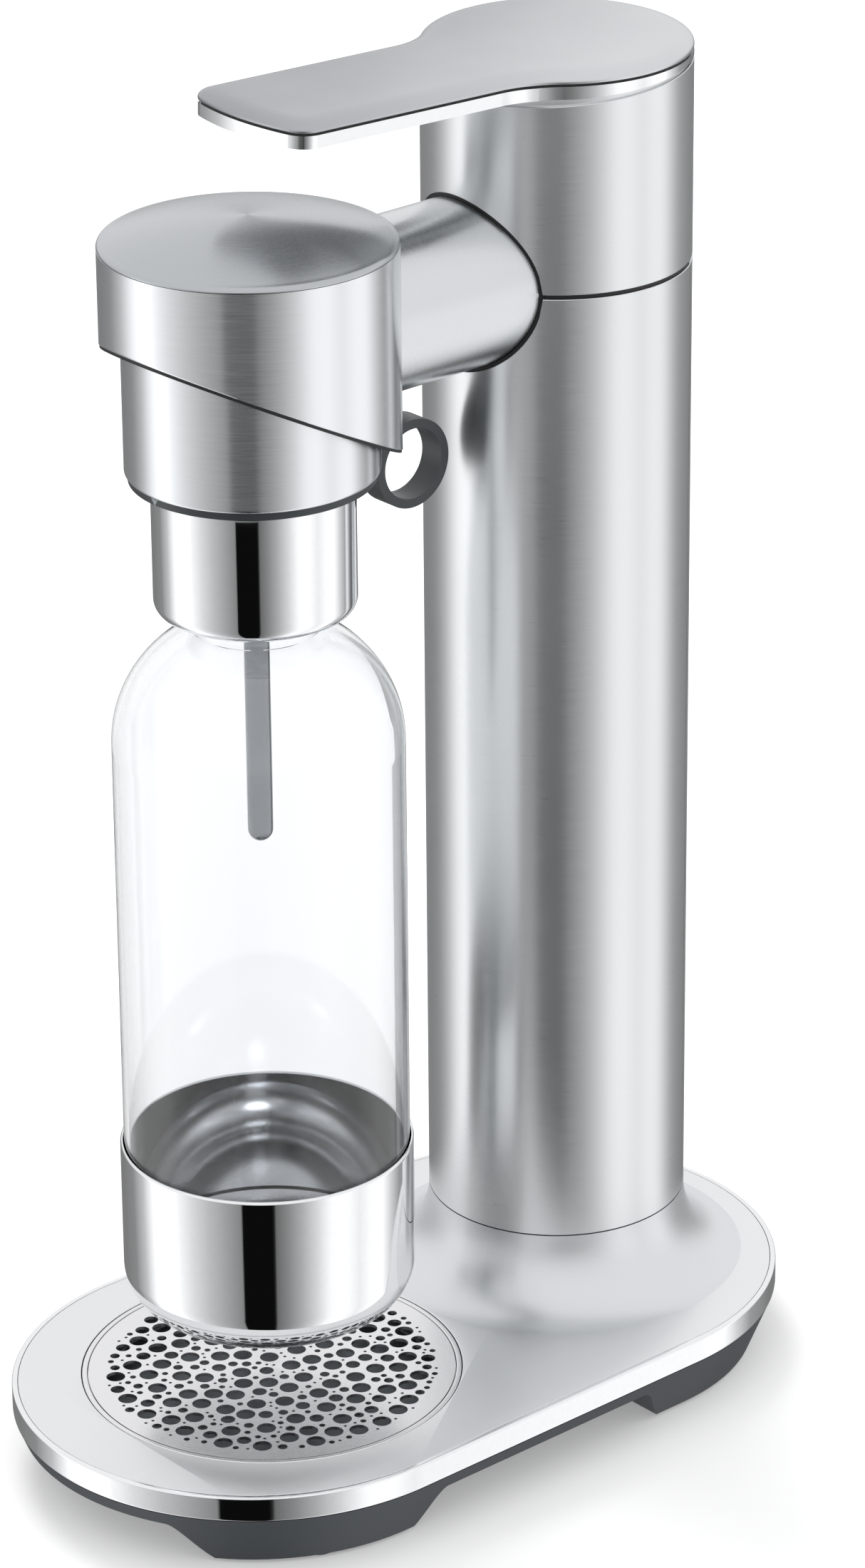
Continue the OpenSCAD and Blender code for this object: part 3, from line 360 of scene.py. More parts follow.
dark_abs = moulded("moulded_abs_grey", "3a3f43", 0.48, 0.3, 0.3)
ring_abs = moulded("moulded_abs_smooth", "2e3336", 0.32, 0.3, 0.08)
nylon = moulded("glass_filled_nylon", "5c6063", 0.55, 0.4, 0.4)
silicone = moulded("black_silicone", "232527", 0.62, 0.5, 0.2)
# black seam plastic, also used as the painted shade of the ring under the head's rim
black_seam_and_shade = moulded("black_seam_and_shade_plastic", "101213", 0.5, 0.4, 0.2)
enamel = moulded("cylinder_enamel", "6f8290", 0.3, 0.8, 0.05, 0.6)
print("six moulded or painted finishes")

# %% [markdown]
# ## Small metals
# Brass for the valve and the nozzle, turned on a lathe, and zinc-plated steel for screws and pins.
# Both show rings of the tool mark as a faint wave in the roughness.

# %% Turned metals
def turned_metal(name, colour, roughness):
    """Metal with level rings of a turning tool and a few cloudy spots."""
    material, t, place = fresh_material(name)
    rings = add(t, "ShaderNodeTexWave", {"wave_type": "BANDS", "bands_direction": "Z", "Scale": 520,
                                         "Distortion": 0.6, "Vector": place}).outputs["Fac"]
    spots = noise(t, place, 160, 3)
    both = blend(t, 0.5, rings, spots, "FLOAT")
    return principled(material, {
        "Metallic": 1.0, "Base Color": blend(t, spots, scaled(colour, 0.8), linear(colour)),
        "Roughness": remap(t, both, roughness - 0.08, roughness + 0.1)})


brass = turned_metal("turned_brass", "cfae62", 0.26)
zinc = turned_metal("zinc_plated_steel", "c3c6c9", 0.32)
print("brass and zinc")

# %% [markdown]
# ## The clear bottle plastic
# The bottle is blow-moulded clear PET, 1.6 mm thick. Light passes through and bends a little at
# each face, which draws the grey line along both edges. Blow moulding leaves slow waves in the
# wall, drawn about two centimetres long and very shallow.

# %% Clear plastic
clear, ct, place = fresh_material("blown_clear_pet")
waves = noise(ct, place, 45, 1)
principled(clear, {"Base Color": linear("f1f2f3"), "IOR": 1.45, "Transmission Weight": 1.0,
                   "Roughness": remap(ct, waves, 0.0, 0.03), "Normal": bumps(ct, waves, 0.05, 0.0004)})
print("clear bottle plastic")

# %% [markdown]
# ## Helpers for turned pieces
# Most of this machine is turned or drawn round an axis, so one helper rounds the corners of a
# half profile and another turns it about an upright axis. Short straight steps beside each
# rounded corner keep the shading of the long walls even. A profile may also change with the
# angle, which makes the slanted rims and the arm's hole without any boolean.

# %% Profiles and lathe
def arc(cx, cz, r, first, last, count):
    """Points on a circle about (cx, cz), from one angle to another in degrees."""
    angles = [math.radians(first + (last - first) * k / count) for k in range(count + 1)]
    return [(cx + r * math.cos(a), cz + r * math.sin(a)) for a in angles]


def rounded(corners, step=15):
    """Rounds the corners (x, z and radius in mm) of a closed profile, step degrees at a time."""
    beside = 0.35
    out = []
    for i, (x, z, radius) in enumerate(corners):
        corner = Vector((x, z))
        to_last = Vector(corners[i - 1][:2]) - corner
        to_next = Vector(corners[(i + 1) % len(corners)][:2]) - corner
        turn = to_last.angle(to_next) if to_last.length and to_next.length else math.pi
        if radius <= 0 or abs(turn - math.pi) < 0.02:
            out.append(corner)
            continue
        last_way, next_way = to_last.normalized(), to_next.normalized()
        back = radius / math.tan(turn / 2)
        middle = corner + (last_way + next_way).normalized() * (radius / math.sin(turn / 2))
        start, end = corner + last_way * back, corner + next_way * back
        if to_last.length > back + 4 * beside:
            out.append(start + last_way * beside)
        sweep = math.pi - turn
        count = max(2, int(math.degrees(sweep) / step))
        for k in range(count + 1):
            from_start, from_end = math.sin((1 - k / count) * sweep), math.sin(k / count * sweep)
            spoke = (start - middle) * from_start + (end - middle) * from_end
            out.append(middle + spoke / math.sin(sweep))
        if to_next.length > back + 4 * beside:
            out.append(end + next_way * beside)
    return out


def corners_mm(bm, points):
    """New corners of a mesh from points in mm."""
    return [bm.verts.new((x * MM, y * MM, z * MM)) for x, y, z in points]


def join_rings(bm, rings, closed=True, left_out=()):
    """Joins each ring of corners to the next with quads, and a closed run's last to its first."""
    following = rings[1:] + (rings[:1] if closed else [])
    for here, there in zip(rings, following):
        for i in range(len(here)):
            j = (i + 1) % len(here)
            if i not in left_out:
                bm.faces.new((here[i], here[j], there[j], there[i]))


def lathe(profile, centre_y, segments=160, start=0.0, sweep=360.0):
    """Turns a closed profile (radius and height in mm) about an upright axis at centre_y in mm.

    The profile is a list, or a function that returns the list for an angle in radians."""
    bm = bmesh.new()
    whole = sweep >= 360
    rings = []
    for k in range(segments if whole else segments + 1):
        a = math.radians(start + sweep * k / segments)
        points = profile(a) if callable(profile) else profile
        rings.append(corners_mm(bm, [(r * math.cos(a), centre_y + r * math.sin(a), z) for r, z in points]))
    radii = [r for r, z in points]
    on_axis = {i for i in range(len(radii)) if max(radii[i], radii[(i + 1) % len(radii)]) <= 1e-6}
    join_rings(bm, rings, whole, on_axis)
    if not whole:
        bm.faces.new(rings[0])
        bm.faces.new(rings[-1][::-1])
    bmesh.ops.remove_doubles(bm, verts=bm.verts, dist=1e-6)
    bmesh.ops.dissolve_degenerate(bm, dist=1e-7, edges=bm.edges)
    return bm


def baked(holder):
    """Turns what an object shows into mesh work, and removes the object."""
    bpy.context.scene.collection.objects.link(holder)
    bpy.context.view_layer.update()
    shown = holder.evaluated_get(bpy.context.evaluated_depsgraph_get())
    shape = bpy.data.meshes.new_from_object(shown)
    bpy.data.objects.remove(holder)
    bm = bmesh.new()
    bm.from_mesh(shape)
    bpy.data.meshes.remove(shape)
    return bm


def finish_mesh(bm, name, body, material, hides=(), sharp=38):
    """Closes the mesh work: faces outwards, smooth shading, body and material."""
    bmesh.ops.remove_doubles(bm, verts=bm.verts, dist=1e-6)
    bmesh.ops.recalc_face_normals(bm, faces=bm.faces)
    mesh = bpy.data.meshes.new(name)
    bm.to_mesh(mesh)
    bm.free()
    mesh.shade_smooth()
    mesh.set_sharp_from_angle(angle=math.radians(sharp))
    mesh.materials.append(material)
    piece = bpy.data.objects.new(name, mesh)
    bpy.context.scene.collection.objects.link(piece)
    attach(piece, body)
    if hides:
        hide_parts(*hides)
    print(name, len(mesh.polygons), "faces")
    return piece


def second_finish(piece, material, rule):
    """Gives a second finish to faces of a piece on the head's axis.

    The rule gets the distance of a face from that axis, its height and its normal, split into
    outwards and upwards."""
    piece.data.materials.append(material)
    for face in piece.data.polygons:
        x, y = face.center.x, face.center.y - HEAD_Y * MM
        outwards = face.normal.x * x + face.normal.y * y
        if rule(math.hypot(x, y), face.center.z, outwards, face.normal.z):
            face.material_index = 1


print("profile and lathe helpers ready")

# %% [markdown]
# ## The column
# The column is a rolled steel tube in two lengths with a dark seam between them, and a cover at
# the back that comes off to change the gas cylinder. The seam and the arm's hole cut through it.
# A hole in a smooth tube is best left to the mesh: each upright line of the tube simply stops at
# the edge of the hole, so the wall needs no boolean and keeps its even shading. The lower length
# is open at the back for the cover, 54 degrees from the back on one side and 55.5 on the other.

# %% Column shell and sleeve
col_r, col_in, hole_r, arm_z = 40, 38.8, 26.7, 356.7
shell_low, shell_high, sleeve_low, shoulder = 50.8, 356.05, 357.35, 415.8
shell_start, shell_sweep, column_step = 145.5, 250.5, 1.5
slope = math.tan(math.radians(3.8))


def tube_profile(a, low, high, above):
    """Profile of the tube at an angle, stopped at the arm's hole if that is in the way."""
    bevel, beside = 0.15, 0.5
    x, y = col_r * math.cos(a), col_r * math.sin(a)
    if y < 0 and abs(x) < hole_r:
        cut = math.sqrt(hole_r ** 2 - x * x)
        low = max(low, arm_z + cut) if above else low
        high = high if above else min(high, arm_z - cut)
    return [(col_r - bevel, low), (col_r, low + bevel), (col_r, low + beside),
            (col_r, (low + high) / 2), (col_r, high - beside), (col_r, high - bevel),
            (col_r - bevel, high), (col_in, high), (col_in, low)]


shell = lathe(lambda a: tube_profile(a, shell_low, shell_high, False), COLUMN_Y,
              round(shell_sweep / column_step), shell_start, shell_sweep)
finish_mesh(shell, "column_tube", "root", column_steel, ["column_shell"])
sleeve = lathe(lambda a: tube_profile(a, sleeve_low, shoulder + slope * col_r * math.sin(a), True),
               COLUMN_Y, round(360 / column_step))
finish_mesh(sleeve, "column_sleeve_tube", "root", column_steel, ["column_sleeve"])

# %% [markdown]
# Above the sleeve's slanted edge the tube steps in by a millimetre and runs up to the lever.
# Both edges of that neck slant, each by its own angle, so it is a turned ring of its own. The
# cover at the back is a bent sheet, a little narrower than its opening.

# %% Neck under the lever and the rear cover
neck_r, neck_top, neck_limit, cover_half = 39, 418.0, 417.8, 53.5
neck_slope = math.tan(math.radians(2.7))


def neck_profile(a):
    """Profile of the neck at an angle: its foot follows the sleeve and its top the lever."""
    top = min(neck_limit, neck_top + neck_slope * neck_r * math.sin(a))
    rim = shoulder + slope * col_r * math.sin(a)
    return [(38.0, rim - 0.5), (39.85, rim - 0.02), (39.5, rim + 0.02), (39.02, rim),
            (neck_r, rim + 0.3), (neck_r, top - 0.3), (38.9, top), (37.8, top)]


finish_mesh(lathe(neck_profile, COLUMN_Y, 200), "sleeve_neck", "root", column_steel)
cover_wall = rounded([(col_r, shell_low, 0.3), (col_r, shell_high, 0.3), (col_in, shell_high, 0),
                      (col_in, shell_low, 0)], 30)
finish_mesh(lathe(cover_wall, COLUMN_Y, 90, 90 - cover_half, 2 * cover_half), "rear_cover_sheet",
            "rear_cover", column_steel, ["rear_cover"])

# %% [markdown]
# ## The base plate and its flare
# The top plate is one pressing: a flat sheet that rises in a flare to the foot of the column.
# A flat curve with two holes, filled and given thickness, makes the sheet with a soft edge, and
# a turned profile makes the flare. The flare's quarter ellipse is 18.4 mm wide and 24 mm high.

# %% Base plate
base_half, plate_r, tray_hole_r = 56.5, 73.65, 58.1
plate_low, plate_high, plate_edge = 25.3, 26.5, 0.15
flare_wide, flare_tall, flare_top, flare_overlap, steel = 18.4, 24, 50.5, 0.6, 1.2
foot_r = col_r + flare_wide


def stadium(r, half, count=72):
    """Outline of the long base: two half circles, half mm in front of and behind the middle."""
    rear = [(x, y + half) for x, y in arc(0, 0, r, 0, 180, count)]
    return rear + [(x, y - half) for x, y in arc(0, 0, r, 180, 360, count)]


def flare_line(r, wide, tall, count=28):
    """Quarter ellipse from the column's wall at radius r down and out to the plate."""
    angles = [math.radians(90 * k / count) for k in range(count + 1)]
    return [(r + wide * (1 - math.cos(a)), flare_top - tall * math.sin(a)) for a in angles]


curve = bpy.data.curves.new("base_plate", "CURVE")
curve.dimensions = "2D"
curve.fill_mode = "BOTH"
curve.extrude = (plate_high - plate_low) / 2 * MM - plate_edge * MM
curve.bevel_depth = plate_edge * MM
curve.bevel_resolution = 2
curve.offset = -plate_edge * MM
for loop in (stadium(plate_r, base_half), arc(0, HEAD_Y, tray_hole_r, 0, 360, 120)[:-1],
             arc(0, COLUMN_Y, foot_r - flare_overlap, 0, 360, 120)[:-1]):
    spline = curve.splines.new("POLY")
    spline.points.add(len(loop) - 1)
    for point, (x, y) in zip(spline.points, loop):
        point.co = (x * MM, y * MM, 0, 1)
    spline.use_cyclic_u = True
bm = baked(bpy.data.objects.new("base_plate", curve))
bmesh.ops.translate(bm, verts=bm.verts, vec=(0, 0, (plate_low + plate_high) / 2 * MM))
finish_mesh(bm, "base_plate", "root", plate_steel, ["base_cover"])

flare = flare_line(col_r, flare_wide, flare_tall)
flare += flare_line(col_in, flare_wide + steel, flare_tall + steel)[::-1]
finish_mesh(lathe(flare, COLUMN_Y, 200), "base_flare", "root", flare_steel)
print("flare from radius", col_r, "to", foot_r, "mm")

# %% [markdown]
# ## The polished band
# A bright band runs round the base under the plate. It is drawn strip, bent round and polished,
# with small bevels that catch the light as a thin line along both edges.

# %% Band
band_profile = rounded([(73.8, 18.5, 0.1), (75.5, 18.5, 0.6), (75.5, 26.5, 0.6), (73.8, 26.5, 0.1)])
bend_steps = 96
bm = bmesh.new()
rings = []
for end, first in ((1, 0), (-1, math.pi)):
    for k in range(bend_steps):
        a = first + math.pi * k / (bend_steps - 1)
        rings.append(corners_mm(bm, [(r * math.cos(a), end * base_half + r * math.sin(a), z)
                                     for r, z in band_profile]))
join_rings(bm, rings)
finish_mesh(bm, "polished_band", "root", polished, ["base_band"])

# %% [markdown]
# ## The drip tray
# The tray is a shallow dish with a bright rim, and could be pressed from sheet. Its floor is painted
# shade here, a darker colour for the shadow under the grille, so that the holes above it read dark.

# %% Tray
tray_profile = rounded([(0, 16.3, 0), (57.8, 16.3, 1.2), (57.8, 26.5, 0.35), (56.2, 26.5, 0.35),
                        (56.2, 25.15, 0.2), (54, 25.15, 0.3), (54, 17.5, 0.8), (0, 17.5, 0)])
tray = finish_mesh(lathe(tray_profile, HEAD_Y), "drip_tray_dish", "tray", tray_metal,
                   ["drip_tray"])
# painted shade: a darker colour on the tray's floor, for the shadow under the grille
tray_floor_shade = chrome("tray_floor_painted_shade", "7e8285", 0.40, 0.50, 1500, 0.1)
shaded_floor_r, shaded_floor_z = 54.1, 17
second_finish(tray, tray_floor_shade, lambda r, z, outwards, upwards: r < shaded_floor_r * MM and z > shaded_floor_z * MM)

# %% [markdown]
# ## The holes of the grille
# The grille is sheet with holes of many sizes, packed like bubbles. A short rule packs them:
# large holes are placed first at random, each at least a web of metal from the others, and
# smaller ones fill what is left. The fixed seed gives the same grille each time.

# %% Places and sizes of the holes
random.seed(11)
zone, web = 50.8, 0.85
holes = []
for radius, tries in ((2.9, 900), (2.2, 1500), (1.5, 3000), (0.95, 5000), (0.5, 6000)):
    for _ in range(tries):
        a, d = random.uniform(0, 2 * math.pi), (zone - radius) * math.sqrt(random.random())
        x, y = d * math.cos(a), d * math.sin(a)
        if all((x - h[0]) ** 2 + (y - h[1]) ** 2 > (radius + h[2] + web) ** 2 for h in holes):
            holes.append((x, y, radius))
print("grille has", len(holes), "holes")

# %% [markdown]
# Geometry Nodes turn those places into holes. One circle stands on each place at its own size,
# the rim's circle joins them, Fill Curve makes the sheet between them and Extrude gives it
# thickness. Its inputs are the rim radius, the thickness, the place, the number of corners of a
# hole and the finish.

# %% Grille
places = bpy.data.meshes.new("hole_places")
places.from_pydata([(x * MM, y * MM, 0) for x, y, _ in holes], [], [])
sizes = places.attributes.new("hole_radius", "FLOAT", "POINT")
for item, (_, _, radius) in zip(sizes.data, holes):
    item.value = radius * MM
grille_maker = bpy.data.objects.new("grille_maker", places)

tree = bpy.data.node_groups.new("perforated_sheet", "GeometryNodeTree")
tree.interface.new_socket("Geometry", in_out="INPUT", socket_type="NodeSocketGeometry")
for label, kind in (("Rim radius", "NodeSocketFloat"), ("Thickness", "NodeSocketFloat"),
                    ("Place", "NodeSocketVector"), ("Hole corners", "NodeSocketInt"),
                    ("Finish", "NodeSocketMaterial")):
    tree.interface.new_socket(label, in_out="INPUT", socket_type=kind)
tree.interface.new_socket("Geometry", in_out="OUTPUT", socket_type="NodeSocketGeometry")
given = add(tree, "NodeGroupInput").outputs
rim = add(tree, "GeometryNodeCurvePrimitiveCircle", {"Resolution": 160, "Radius": given["Rim radius"]})
bore = add(tree, "GeometryNodeCurvePrimitiveCircle", {"Radius": 1.0, "Resolution": given["Hole corners"]})
spot = add(tree, "GeometryNodeMeshToPoints", {"Mesh": given["Geometry"]})
size = add(tree, "GeometryNodeInputNamedAttribute", {"data_type": "FLOAT", "Name": "hole_radius"})
bores = add(tree, "GeometryNodeInstanceOnPoints", {"Points": spot.outputs[0], "Instance": bore.outputs[0],
                                                   "Scale": size.outputs["Attribute"]})
loose = add(tree, "GeometryNodeRealizeInstances", {0: bores.outputs[0]})
curves = add(tree, "GeometryNodeJoinGeometry", {0: rim.outputs[0]})
tree.links.new(loose.outputs[0], curves.inputs[0])
face = add(tree, "GeometryNodeFillCurve", {"Curve": curves.outputs[0]})
raised = add(tree, "GeometryNodeExtrudeMesh", {"Individual": False, "Mesh": face.outputs[0],
                                               "Offset Scale": given["Thickness"]})
under = add(tree, "GeometryNodeFlipFaces", {0: face.outputs[0]})
whole = add(tree, "GeometryNodeJoinGeometry", {0: raised.outputs[0]})
tree.links.new(under.outputs[0], whole.inputs[0])
welded = add(tree, "GeometryNodeMergeByDistance", {"Distance": 0.01 * MM, "Geometry": whole.outputs[0]})
moved = add(tree, "GeometryNodeTransform", {"Geometry": welded.outputs[0], "Translation": given["Place"]})
real = add(tree, "GeometryNodeRealizeInstances", {0: moved.outputs[0]})
dressed = add(tree, "GeometryNodeSetMaterial", {"Geometry": real.outputs[0], "Material": given["Finish"]})
add(tree, "NodeGroupOutput", {0: dressed.outputs[0]})

modifier = grille_maker.modifiers.new("perforate", "NODES")
modifier.node_group = tree
wanted = {"Rim radius": 55.9 * MM, "Thickness": 1.05 * MM, "Place": (0, HEAD_Y * MM, 25.3 * MM),
          "Hole corners": 20, "Finish": tray_metal}
for item in tree.interface.items_tree:
    if item.name in wanted:
        modifier[item.identifier] = wanted[item.name]
finish_mesh(baked(grille_maker), "drip_grille_sheet", "grille", tray_metal, ["drip_grille"])

# %% [markdown]
# ## The head
# The head is a drawn cup with a slanted lower edge. Its rim is a plane that falls by 26.8 degrees
# towards the column, so each upright line of the cup simply starts at its own height.

# %% Head shell
head_r, head_in, rim_z = 42.8, 41.3, 340.6
drop = math.tan(math.radians(26.8))


def from_rim(a, points):
    """Points (radius and height above the slanted plane of the rim) as radius and height at an angle."""
    return [(r, rim_z - drop * r * math.sin(a) + lift) for r, lift in points]


head_rim = ((head_in, 0.0), (42.65, 0.0), (head_r, 0.15), (head_r, 0.6))
head_top = [(head_r, 385.6), (head_r, 386.25), (42.7, 386.3), (head_in, 386.3)]
finish_mesh(lathe(lambda a: from_rim(a, head_rim) + head_top, HEAD_Y, 240), "head_cup", "root",
            head_steel, ["head_shell"])

# %% [markdown]
# A thin black line shows under the head's rim, where the head shades the cap. It is painted shade:
# here a black ring that follows the same slanted plane, 1 mm under it. It could be a moulded
# edging pushed on from below, and here it is a ring that follows the same slanted plane, 1 mm
# under it.

# %% Black ring of painted shade under the head's rim
shadow_lip = ((40.95, 3), (40.95, -0.7), (41.2, -1.0), (42.3, -1.0), (42.55, -0.8), (42.55, 0.0), (41.6, 3))
finish_mesh(lathe(lambda a: from_rim(a, shadow_lip), HEAD_Y, 200), "head_rim_shadow_lip", "root",
            black_seam_and_shade)

# %% [markdown]
# A low dome closes the head. It is brushed in rings, which is why its highlight opens like a fan
# from the middle. Its profile is a small rounded edge and then one long arc to the top.

# %% Dome
dome_r, dome_rise, dome_z, edge_r, edge_z = 41.2, 7.0, 388, 1.6, 386.4
ball = (dome_r ** 2 + dome_rise ** 2) / (2 * dome_rise)
dome_reach = math.degrees(math.asin(dome_r / ball))
dome = [(42.75, 386.42), (head_r, 386.6)] + arc(dome_r, edge_z, edge_r, 12, 76, 8)
dome += arc(0, dome_z + dome_rise - ball, ball, 90 - dome_reach, 90, 40)
dome += [(0, dome_z + dome_rise - 1.5), (40.6, 387.0), (41.0, 386.42)]
# painted shade: the dome wears the darker copy of the head's steel
finish_mesh(lathe(dome, HEAD_Y, 200), "head_dome_cap", "root", dome_steel_shaded,
            ["head_dome"])

# %% [markdown]
# ## The arm
# The arm is a plain brushed tube that ends against the head and passes through a dark gap into
# the column. Both ends follow the round wall that they meet, so each line of the tube gets its
# own length.

# %% Arm tube
arm_r, arm_in, head_gap_r, column_gap_r, arm_segments = 25.4, 24.2, 42.95, 36.1, 200
bm = bmesh.new()
rings = []
for k in range(arm_segments):
    a = 2 * math.pi * k / arm_segments
    line = []
    for r, way in ((arm_r, 1), (arm_in, -1)):
        x, z = r * math.cos(a), arm_z + r * math.sin(a)
        front = HEAD_Y + math.sqrt(head_gap_r ** 2 - x * x)
        back = COLUMN_Y - math.sqrt(column_gap_r ** 2 - x * x)
        stations = [front, front + 0.4, front + (back - front) / 3, back - 0.4, back]
        line += [(x, y, z) for y in stations[::way]]
    rings.append(corners_mm(bm, line))
join_rings(bm, rings)
finish_mesh(bm, "arm_tube", "root", arm_steel, ["arm_sleeve"])

# %% [markdown]
# ## The cap, the wand and the finger ring
# A brushed sleeve covers the cap. Its dark lower ring and the finger ring stay CAD solids.

# %% Cap sleeve
cap_profile = rounded([(35.6, 319.15, 0.1), (36.8, 319.15, 0.9), (36.8, 364, 0.2), (35.6, 364, 0)])
finish_mesh(lathe(cap_profile, HEAD_Y), "cap_sleeve", "cap", head_steel,
            ["cap_shell"])

# %% [markdown]
# A small moulded triangle at the front of the dark ring shows where the bottle locks. It is laid
# on the ring's wall, which is upright above 317 mm and tapers in below that.

# %% Mark on the cap's ring
mark_z, ring_r, taper_top, taper_low = 317.9, 35.8, 317, 315
bm = bmesh.new()
layers = []
for deep, grow in ((0.0, 1.0), (0.32, 1.0), (0.45, 0.75)):
    triangle = []
    for across, up in ((-1.5, 1.1), (1.5, 1.1), (0, -1.3)):
        x, z = across * grow, mark_z + up * grow
        wall_r = ring_r if z > taper_top else 31 + 4.8 * (z - taper_low) / (taper_top - taper_low)
        triangle.append((x, HEAD_Y - math.sqrt(wall_r ** 2 - x * x) + 0.15 - deep, z))
    layers.append(corners_mm(bm, triangle))
join_rings(bm, layers, False)
bm.faces.new(layers[-1])
bm.faces.new(layers[0][::-1])
pale_mark = moulded("moulded_mark_grey", "8f9699", 0.4, 0.3, 0.05)
finish_mesh(bm, "lock_mark", "cap", pale_mark, (), 30)

# %% [markdown]
# The wand that carries the gas into the water is a ground rod with a round tip.

# %% Wand
rod_r, rod_low, rod_high = 3.75, 203.0, 345
rod = [(0, rod_low)] + arc(0, rod_low + rod_r, rod_r, -81, 0, 9)
rod += [(rod_r, 207.3), (rod_r, rod_high - 0.5), (3.6, rod_high), (0, rod_high)]
finish_mesh(lathe(rod, HEAD_Y, 64), "wand_rod", "cap", rod_steel, ["wand"])

# %% [markdown]
# ## The bottle
# The bottle is one clear wall, with the inner face modelled too, because light bends at both.
# Inside the cup the real wall is clear too and the metal shows through it. With clear plastic
# there the inside of the cup renders much darker than the photograph, so the inner face takes
# the metal's satin as a stand-in.

# %% Bottle
bottle_r, wall, neck_out_r, neck_in_r, mouth_z = 42.8, 1.6, 19, 17.4, 330.8
foot_z, foot_round, wall_low, wall_top, shoulder_rise = 52.65, 12.85, 66, 234.8, 36
punt = [(26 * k / 14, foot_z + 6 * (1 - (k / 14) ** 2)) for k in range(15)]
foot_middle = (bottle_r - foot_round, foot_z + foot_round)
reach = math.acos(neck_out_r / bottle_r)
tall = shoulder_rise / math.sin(reach)
shoulder_out = [(bottle_r * math.cos(reach * k / 48), wall_top + tall * math.sin(reach * k / 48))
                for k in range(49)]
outline = punt + arc(*foot_middle, foot_round, -90, 0, 14)[1:] + [(bottle_r, wall_low)] + shoulder_out
outline += [(neck_out_r, 271.6), (neck_out_r, 330.4), (18.8, mouth_z)]
outline += [(17.6, mouth_z), (neck_in_r, 330.4), (neck_in_r, 270.4)]
outline += [(r - wall, z - wall) for r, z in reversed(shoulder_out)] + [(bottle_r - wall, wall_low)]
outline += arc(*foot_middle, foot_round - wall, 0, -90, 14)
outline += [(r, z + wall) for r, z in reversed(punt)][1:]
bottle = finish_mesh(lathe(outline, HEAD_Y, 180), "clear_bottle_wall", "bottle", clear,
                     ["bottle"], 50)
inside = chrome("cup_inside_satin", "e6e7e9", 0.22, 0.28, 900, 0.05)
satin_r, satin_top = 41.5, 104.5
second_finish(bottle, inside, lambda r, z, outwards, upwards:
              z < satin_top * MM and r < satin_r * MM and (outwards < 0 or upwards > 0.5))

# %% [markdown]
# The collar and the cup are thin polished metal, turned to a mirror. Each is one closed profile:
# the outer wall with its round corner, then the inner wall back again.

# %% Collar and cup
neck_hole_r, collar_corner, cup_corner = 19.15, (25.5, 280.2), (29.95, 65.5)
collar = [(neck_hole_r, 276.2)] + arc(*collar_corner, 4, -90, 0, 12)
collar += [(29.5, 280.8), (29.5, 313.8), (29.45, 314.4), (29.1, 314.7), (neck_hole_r, 314.7)]
collar += [(neck_hole_r, 313.2), (28.0, 313.2)] + arc(*collar_corner, 2.5, 0, -90, 8)
collar += [(neck_hole_r, 277.7)]
finish_mesh(lathe(collar, HEAD_Y, 200), "polished_collar", "bottle", polished,
            ["bottle_collar"])
cup = [(0, 51.5)] + arc(*cup_corner, 14, -90, 0, 20)
cup += [(43.95, 66.1), (43.95, 104.9), (43.9, 105.3), (43.6, 105.7)]
cup += [(43.2, 105.7), (42.98, 105.4), (42.95, 104.9)] + arc(*cup_corner, 13, 0, -90, 20) + [(0, 52.5)]
finish_mesh(lathe(cup, HEAD_Y, 200), "polished_cup", "bottle", polished, ["bottle_cup"])

# %% [markdown]
# ## The lever
# The lever is a sandwich: a pearl chrome cover, a thin dark seam and a polished body. Its outline
# is a disc with a handle, joined by two hollow curves. The outline can be drawn at any inset, so
# a stack of insets gives the rounded edge. The handle rises 2 degrees from the disc, and the
# rise is spread over 16 mm, where a real casting has no crease either.

# %% Lever outline
disc_r, handle_half, corner_r, tip_r, tip_y = 40, 24.5, 7, 80, -40
bay_x, bay_y, bay_r = 52.5, -43.17, 28
bend_y, bend_half, rise = -32, 8, math.tan(math.radians(2))


def lever_side(inset):
    """Right half of the outline in mm about the column's axis, from the back to the tip."""
    tangent = math.degrees(math.atan2(bay_y, bay_x))
    corner_x = handle_half - corner_r
    corner_y = tip_y - math.sqrt((tip_r - corner_r) ** 2 - corner_x ** 2)
    turn = math.degrees(math.atan2(corner_y - tip_y, corner_x))
    side = arc(0, 0, disc_r - inset, 90, tangent, 64)
    side += arc(bay_x, bay_y, bay_r + inset, 180 + tangent, 180, 14)[1:]
    side += [(handle_half - inset, bay_y + (corner_y - bay_y) * k / 12) for k in range(1, 12)]
    side += arc(corner_x, corner_y, corner_r - inset, 0, turn, 10)
    side += arc(0, tip_y, tip_r - inset, turn, -90, 8)[1:]
    return side


def lifted(y, z):
    """Height of a point of the lever: level, then a soft bend, then the handle's even rise."""
    past = bend_y - y
    if past < -bend_half:
        return z
    return z + rise * ((past + bend_half) ** 2 / (4 * bend_half) if past < bend_half else past)


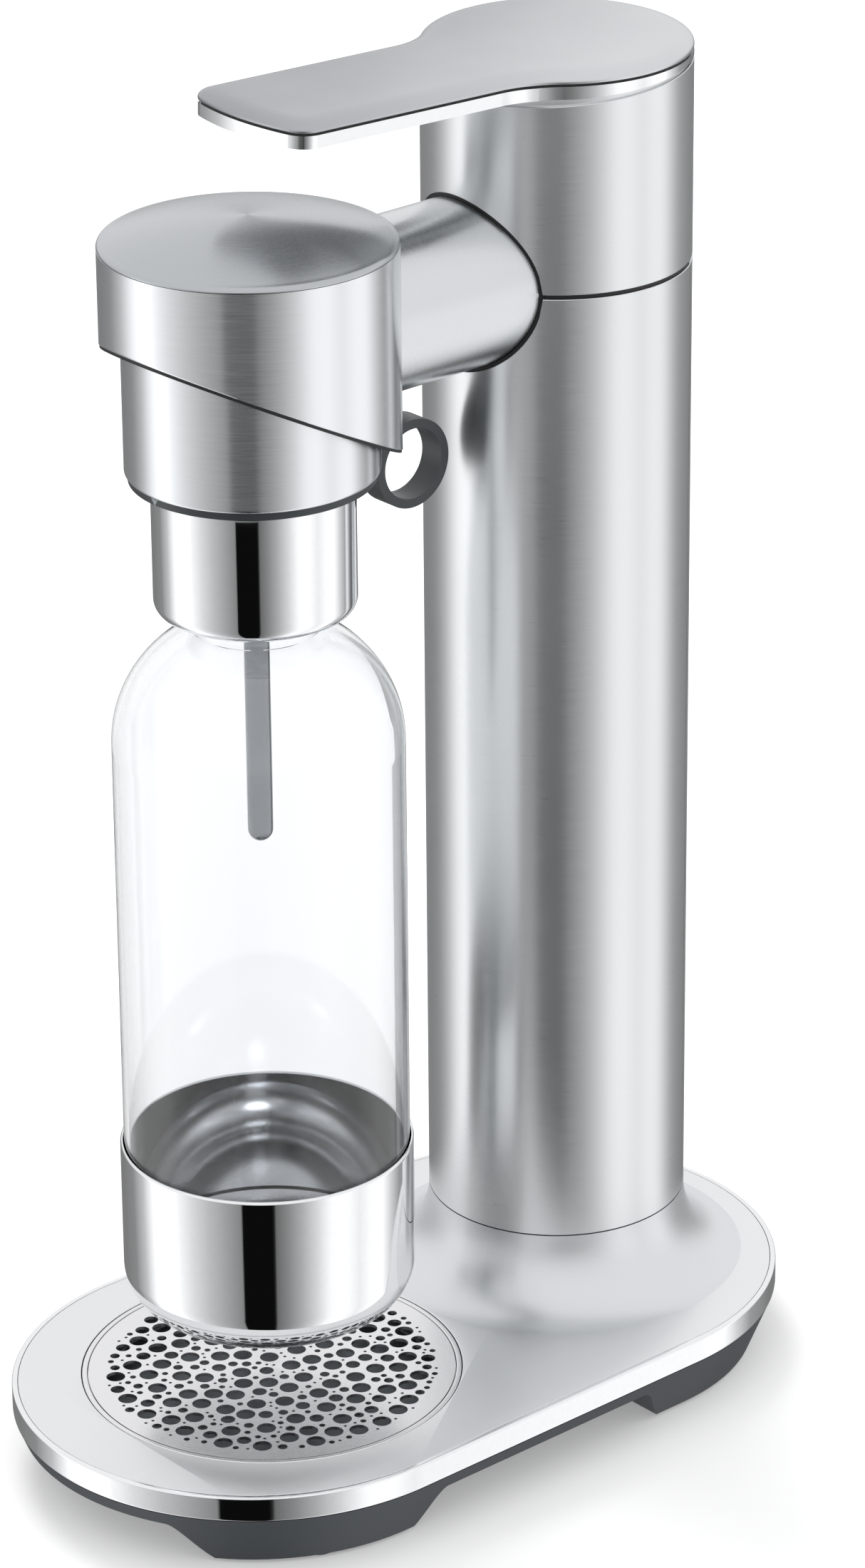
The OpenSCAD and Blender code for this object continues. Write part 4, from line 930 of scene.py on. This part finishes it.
def lever_piece(stack):
    """Lofts a stack of (inset, height) outlines and closes it with ladders of quads."""
    bm = bmesh.new()
    loops = []
    for inset, z in stack:
        half = [(x, COLUMN_Y + y, lifted(y, z)) for x, y in lever_side(inset)]
        right = corners_mm(bm, half)
        left = corners_mm(bm, [(-x, y, z) for x, y, z in half[1:-1]])
        loops.append((right, [right[0]] + left + [right[-1]]))
    for (r0, l0), (r1, l1) in zip(loops, loops[1:]):
        for i in range(len(r0) - 1):
            bm.faces.new((r0[i], r0[i + 1], r1[i + 1], r1[i]))
            bm.faces.new((l0[i + 1], l0[i], l1[i], l1[i + 1]))
    for right, left in (loops[0], loops[-1]):
        for i in range(len(right) - 1):
            quad = [right[i], right[i + 1], left[i + 1], left[i]]
            bm.faces.new(list(dict.fromkeys(quad)))
    return bm


pillow_in, pillow_up, pillow_z = 6.5, 2.7, 421.3
stack = [(0.5, 420.6), (0.12, 420.72), (0, 421.0), (0, pillow_z)]
for degrees in range(10, 91, 8):
    a = math.radians(degrees)
    stack.append((pillow_in * (1 - math.cos(a)), pillow_z + pillow_up * math.sin(a)))
finish_mesh(lever_piece(stack), "lever_cover_plate", "lever", pearl, ["lever_cover"], 60)
print("lever outline has", 2 * len(lever_side(0)), "points")

# %% [markdown]
# ## Finishes of the CAD solids
# The other solids already have the right shape, so they only get their finish. The slot that
# each one carries in the record says which it is, and a few pieces have a finish of their own.

# %% CAD finishes
finishes = {
    "brushed_column_steel": column_steel, "brushed_plate_steel": plate_steel,
    "brushed_head_steel": head_steel, "tray_steel": tray_metal, "polished_trim": polished,
    "satin_lever": pearl, "dark_plastic": dark_abs, "inner_plastic": nylon, "seal_rubber": silicone,
    "fastener_steel": zinc, "valve_brass": brass, "cylinder_paint": enamel, "clear_bottle": clear
}
own = {"cap_body": ring_abs, "pull_ring": ring_abs, "lever_seam": black_seam_and_shade,
       "column_gasket": black_seam_and_shade, "arm_gasket": black_seam_and_shade, "latch_ring": dark_abs}
done = 0
for name, solid in nodes.items():
    for slot in solid.material_slots:
        label = slot.material.name.split(".")[0] if slot.material else ""
        slot.material = own.get(name) or finishes.get(label) or dark_abs
        done += 1
    if not solid.material_slots:
        solid.data.materials.append(own.get(name) or dark_abs)
print("finishes on", done, "slots of CAD solids")

# %% Update the view layer
bpy.context.view_layer.update()
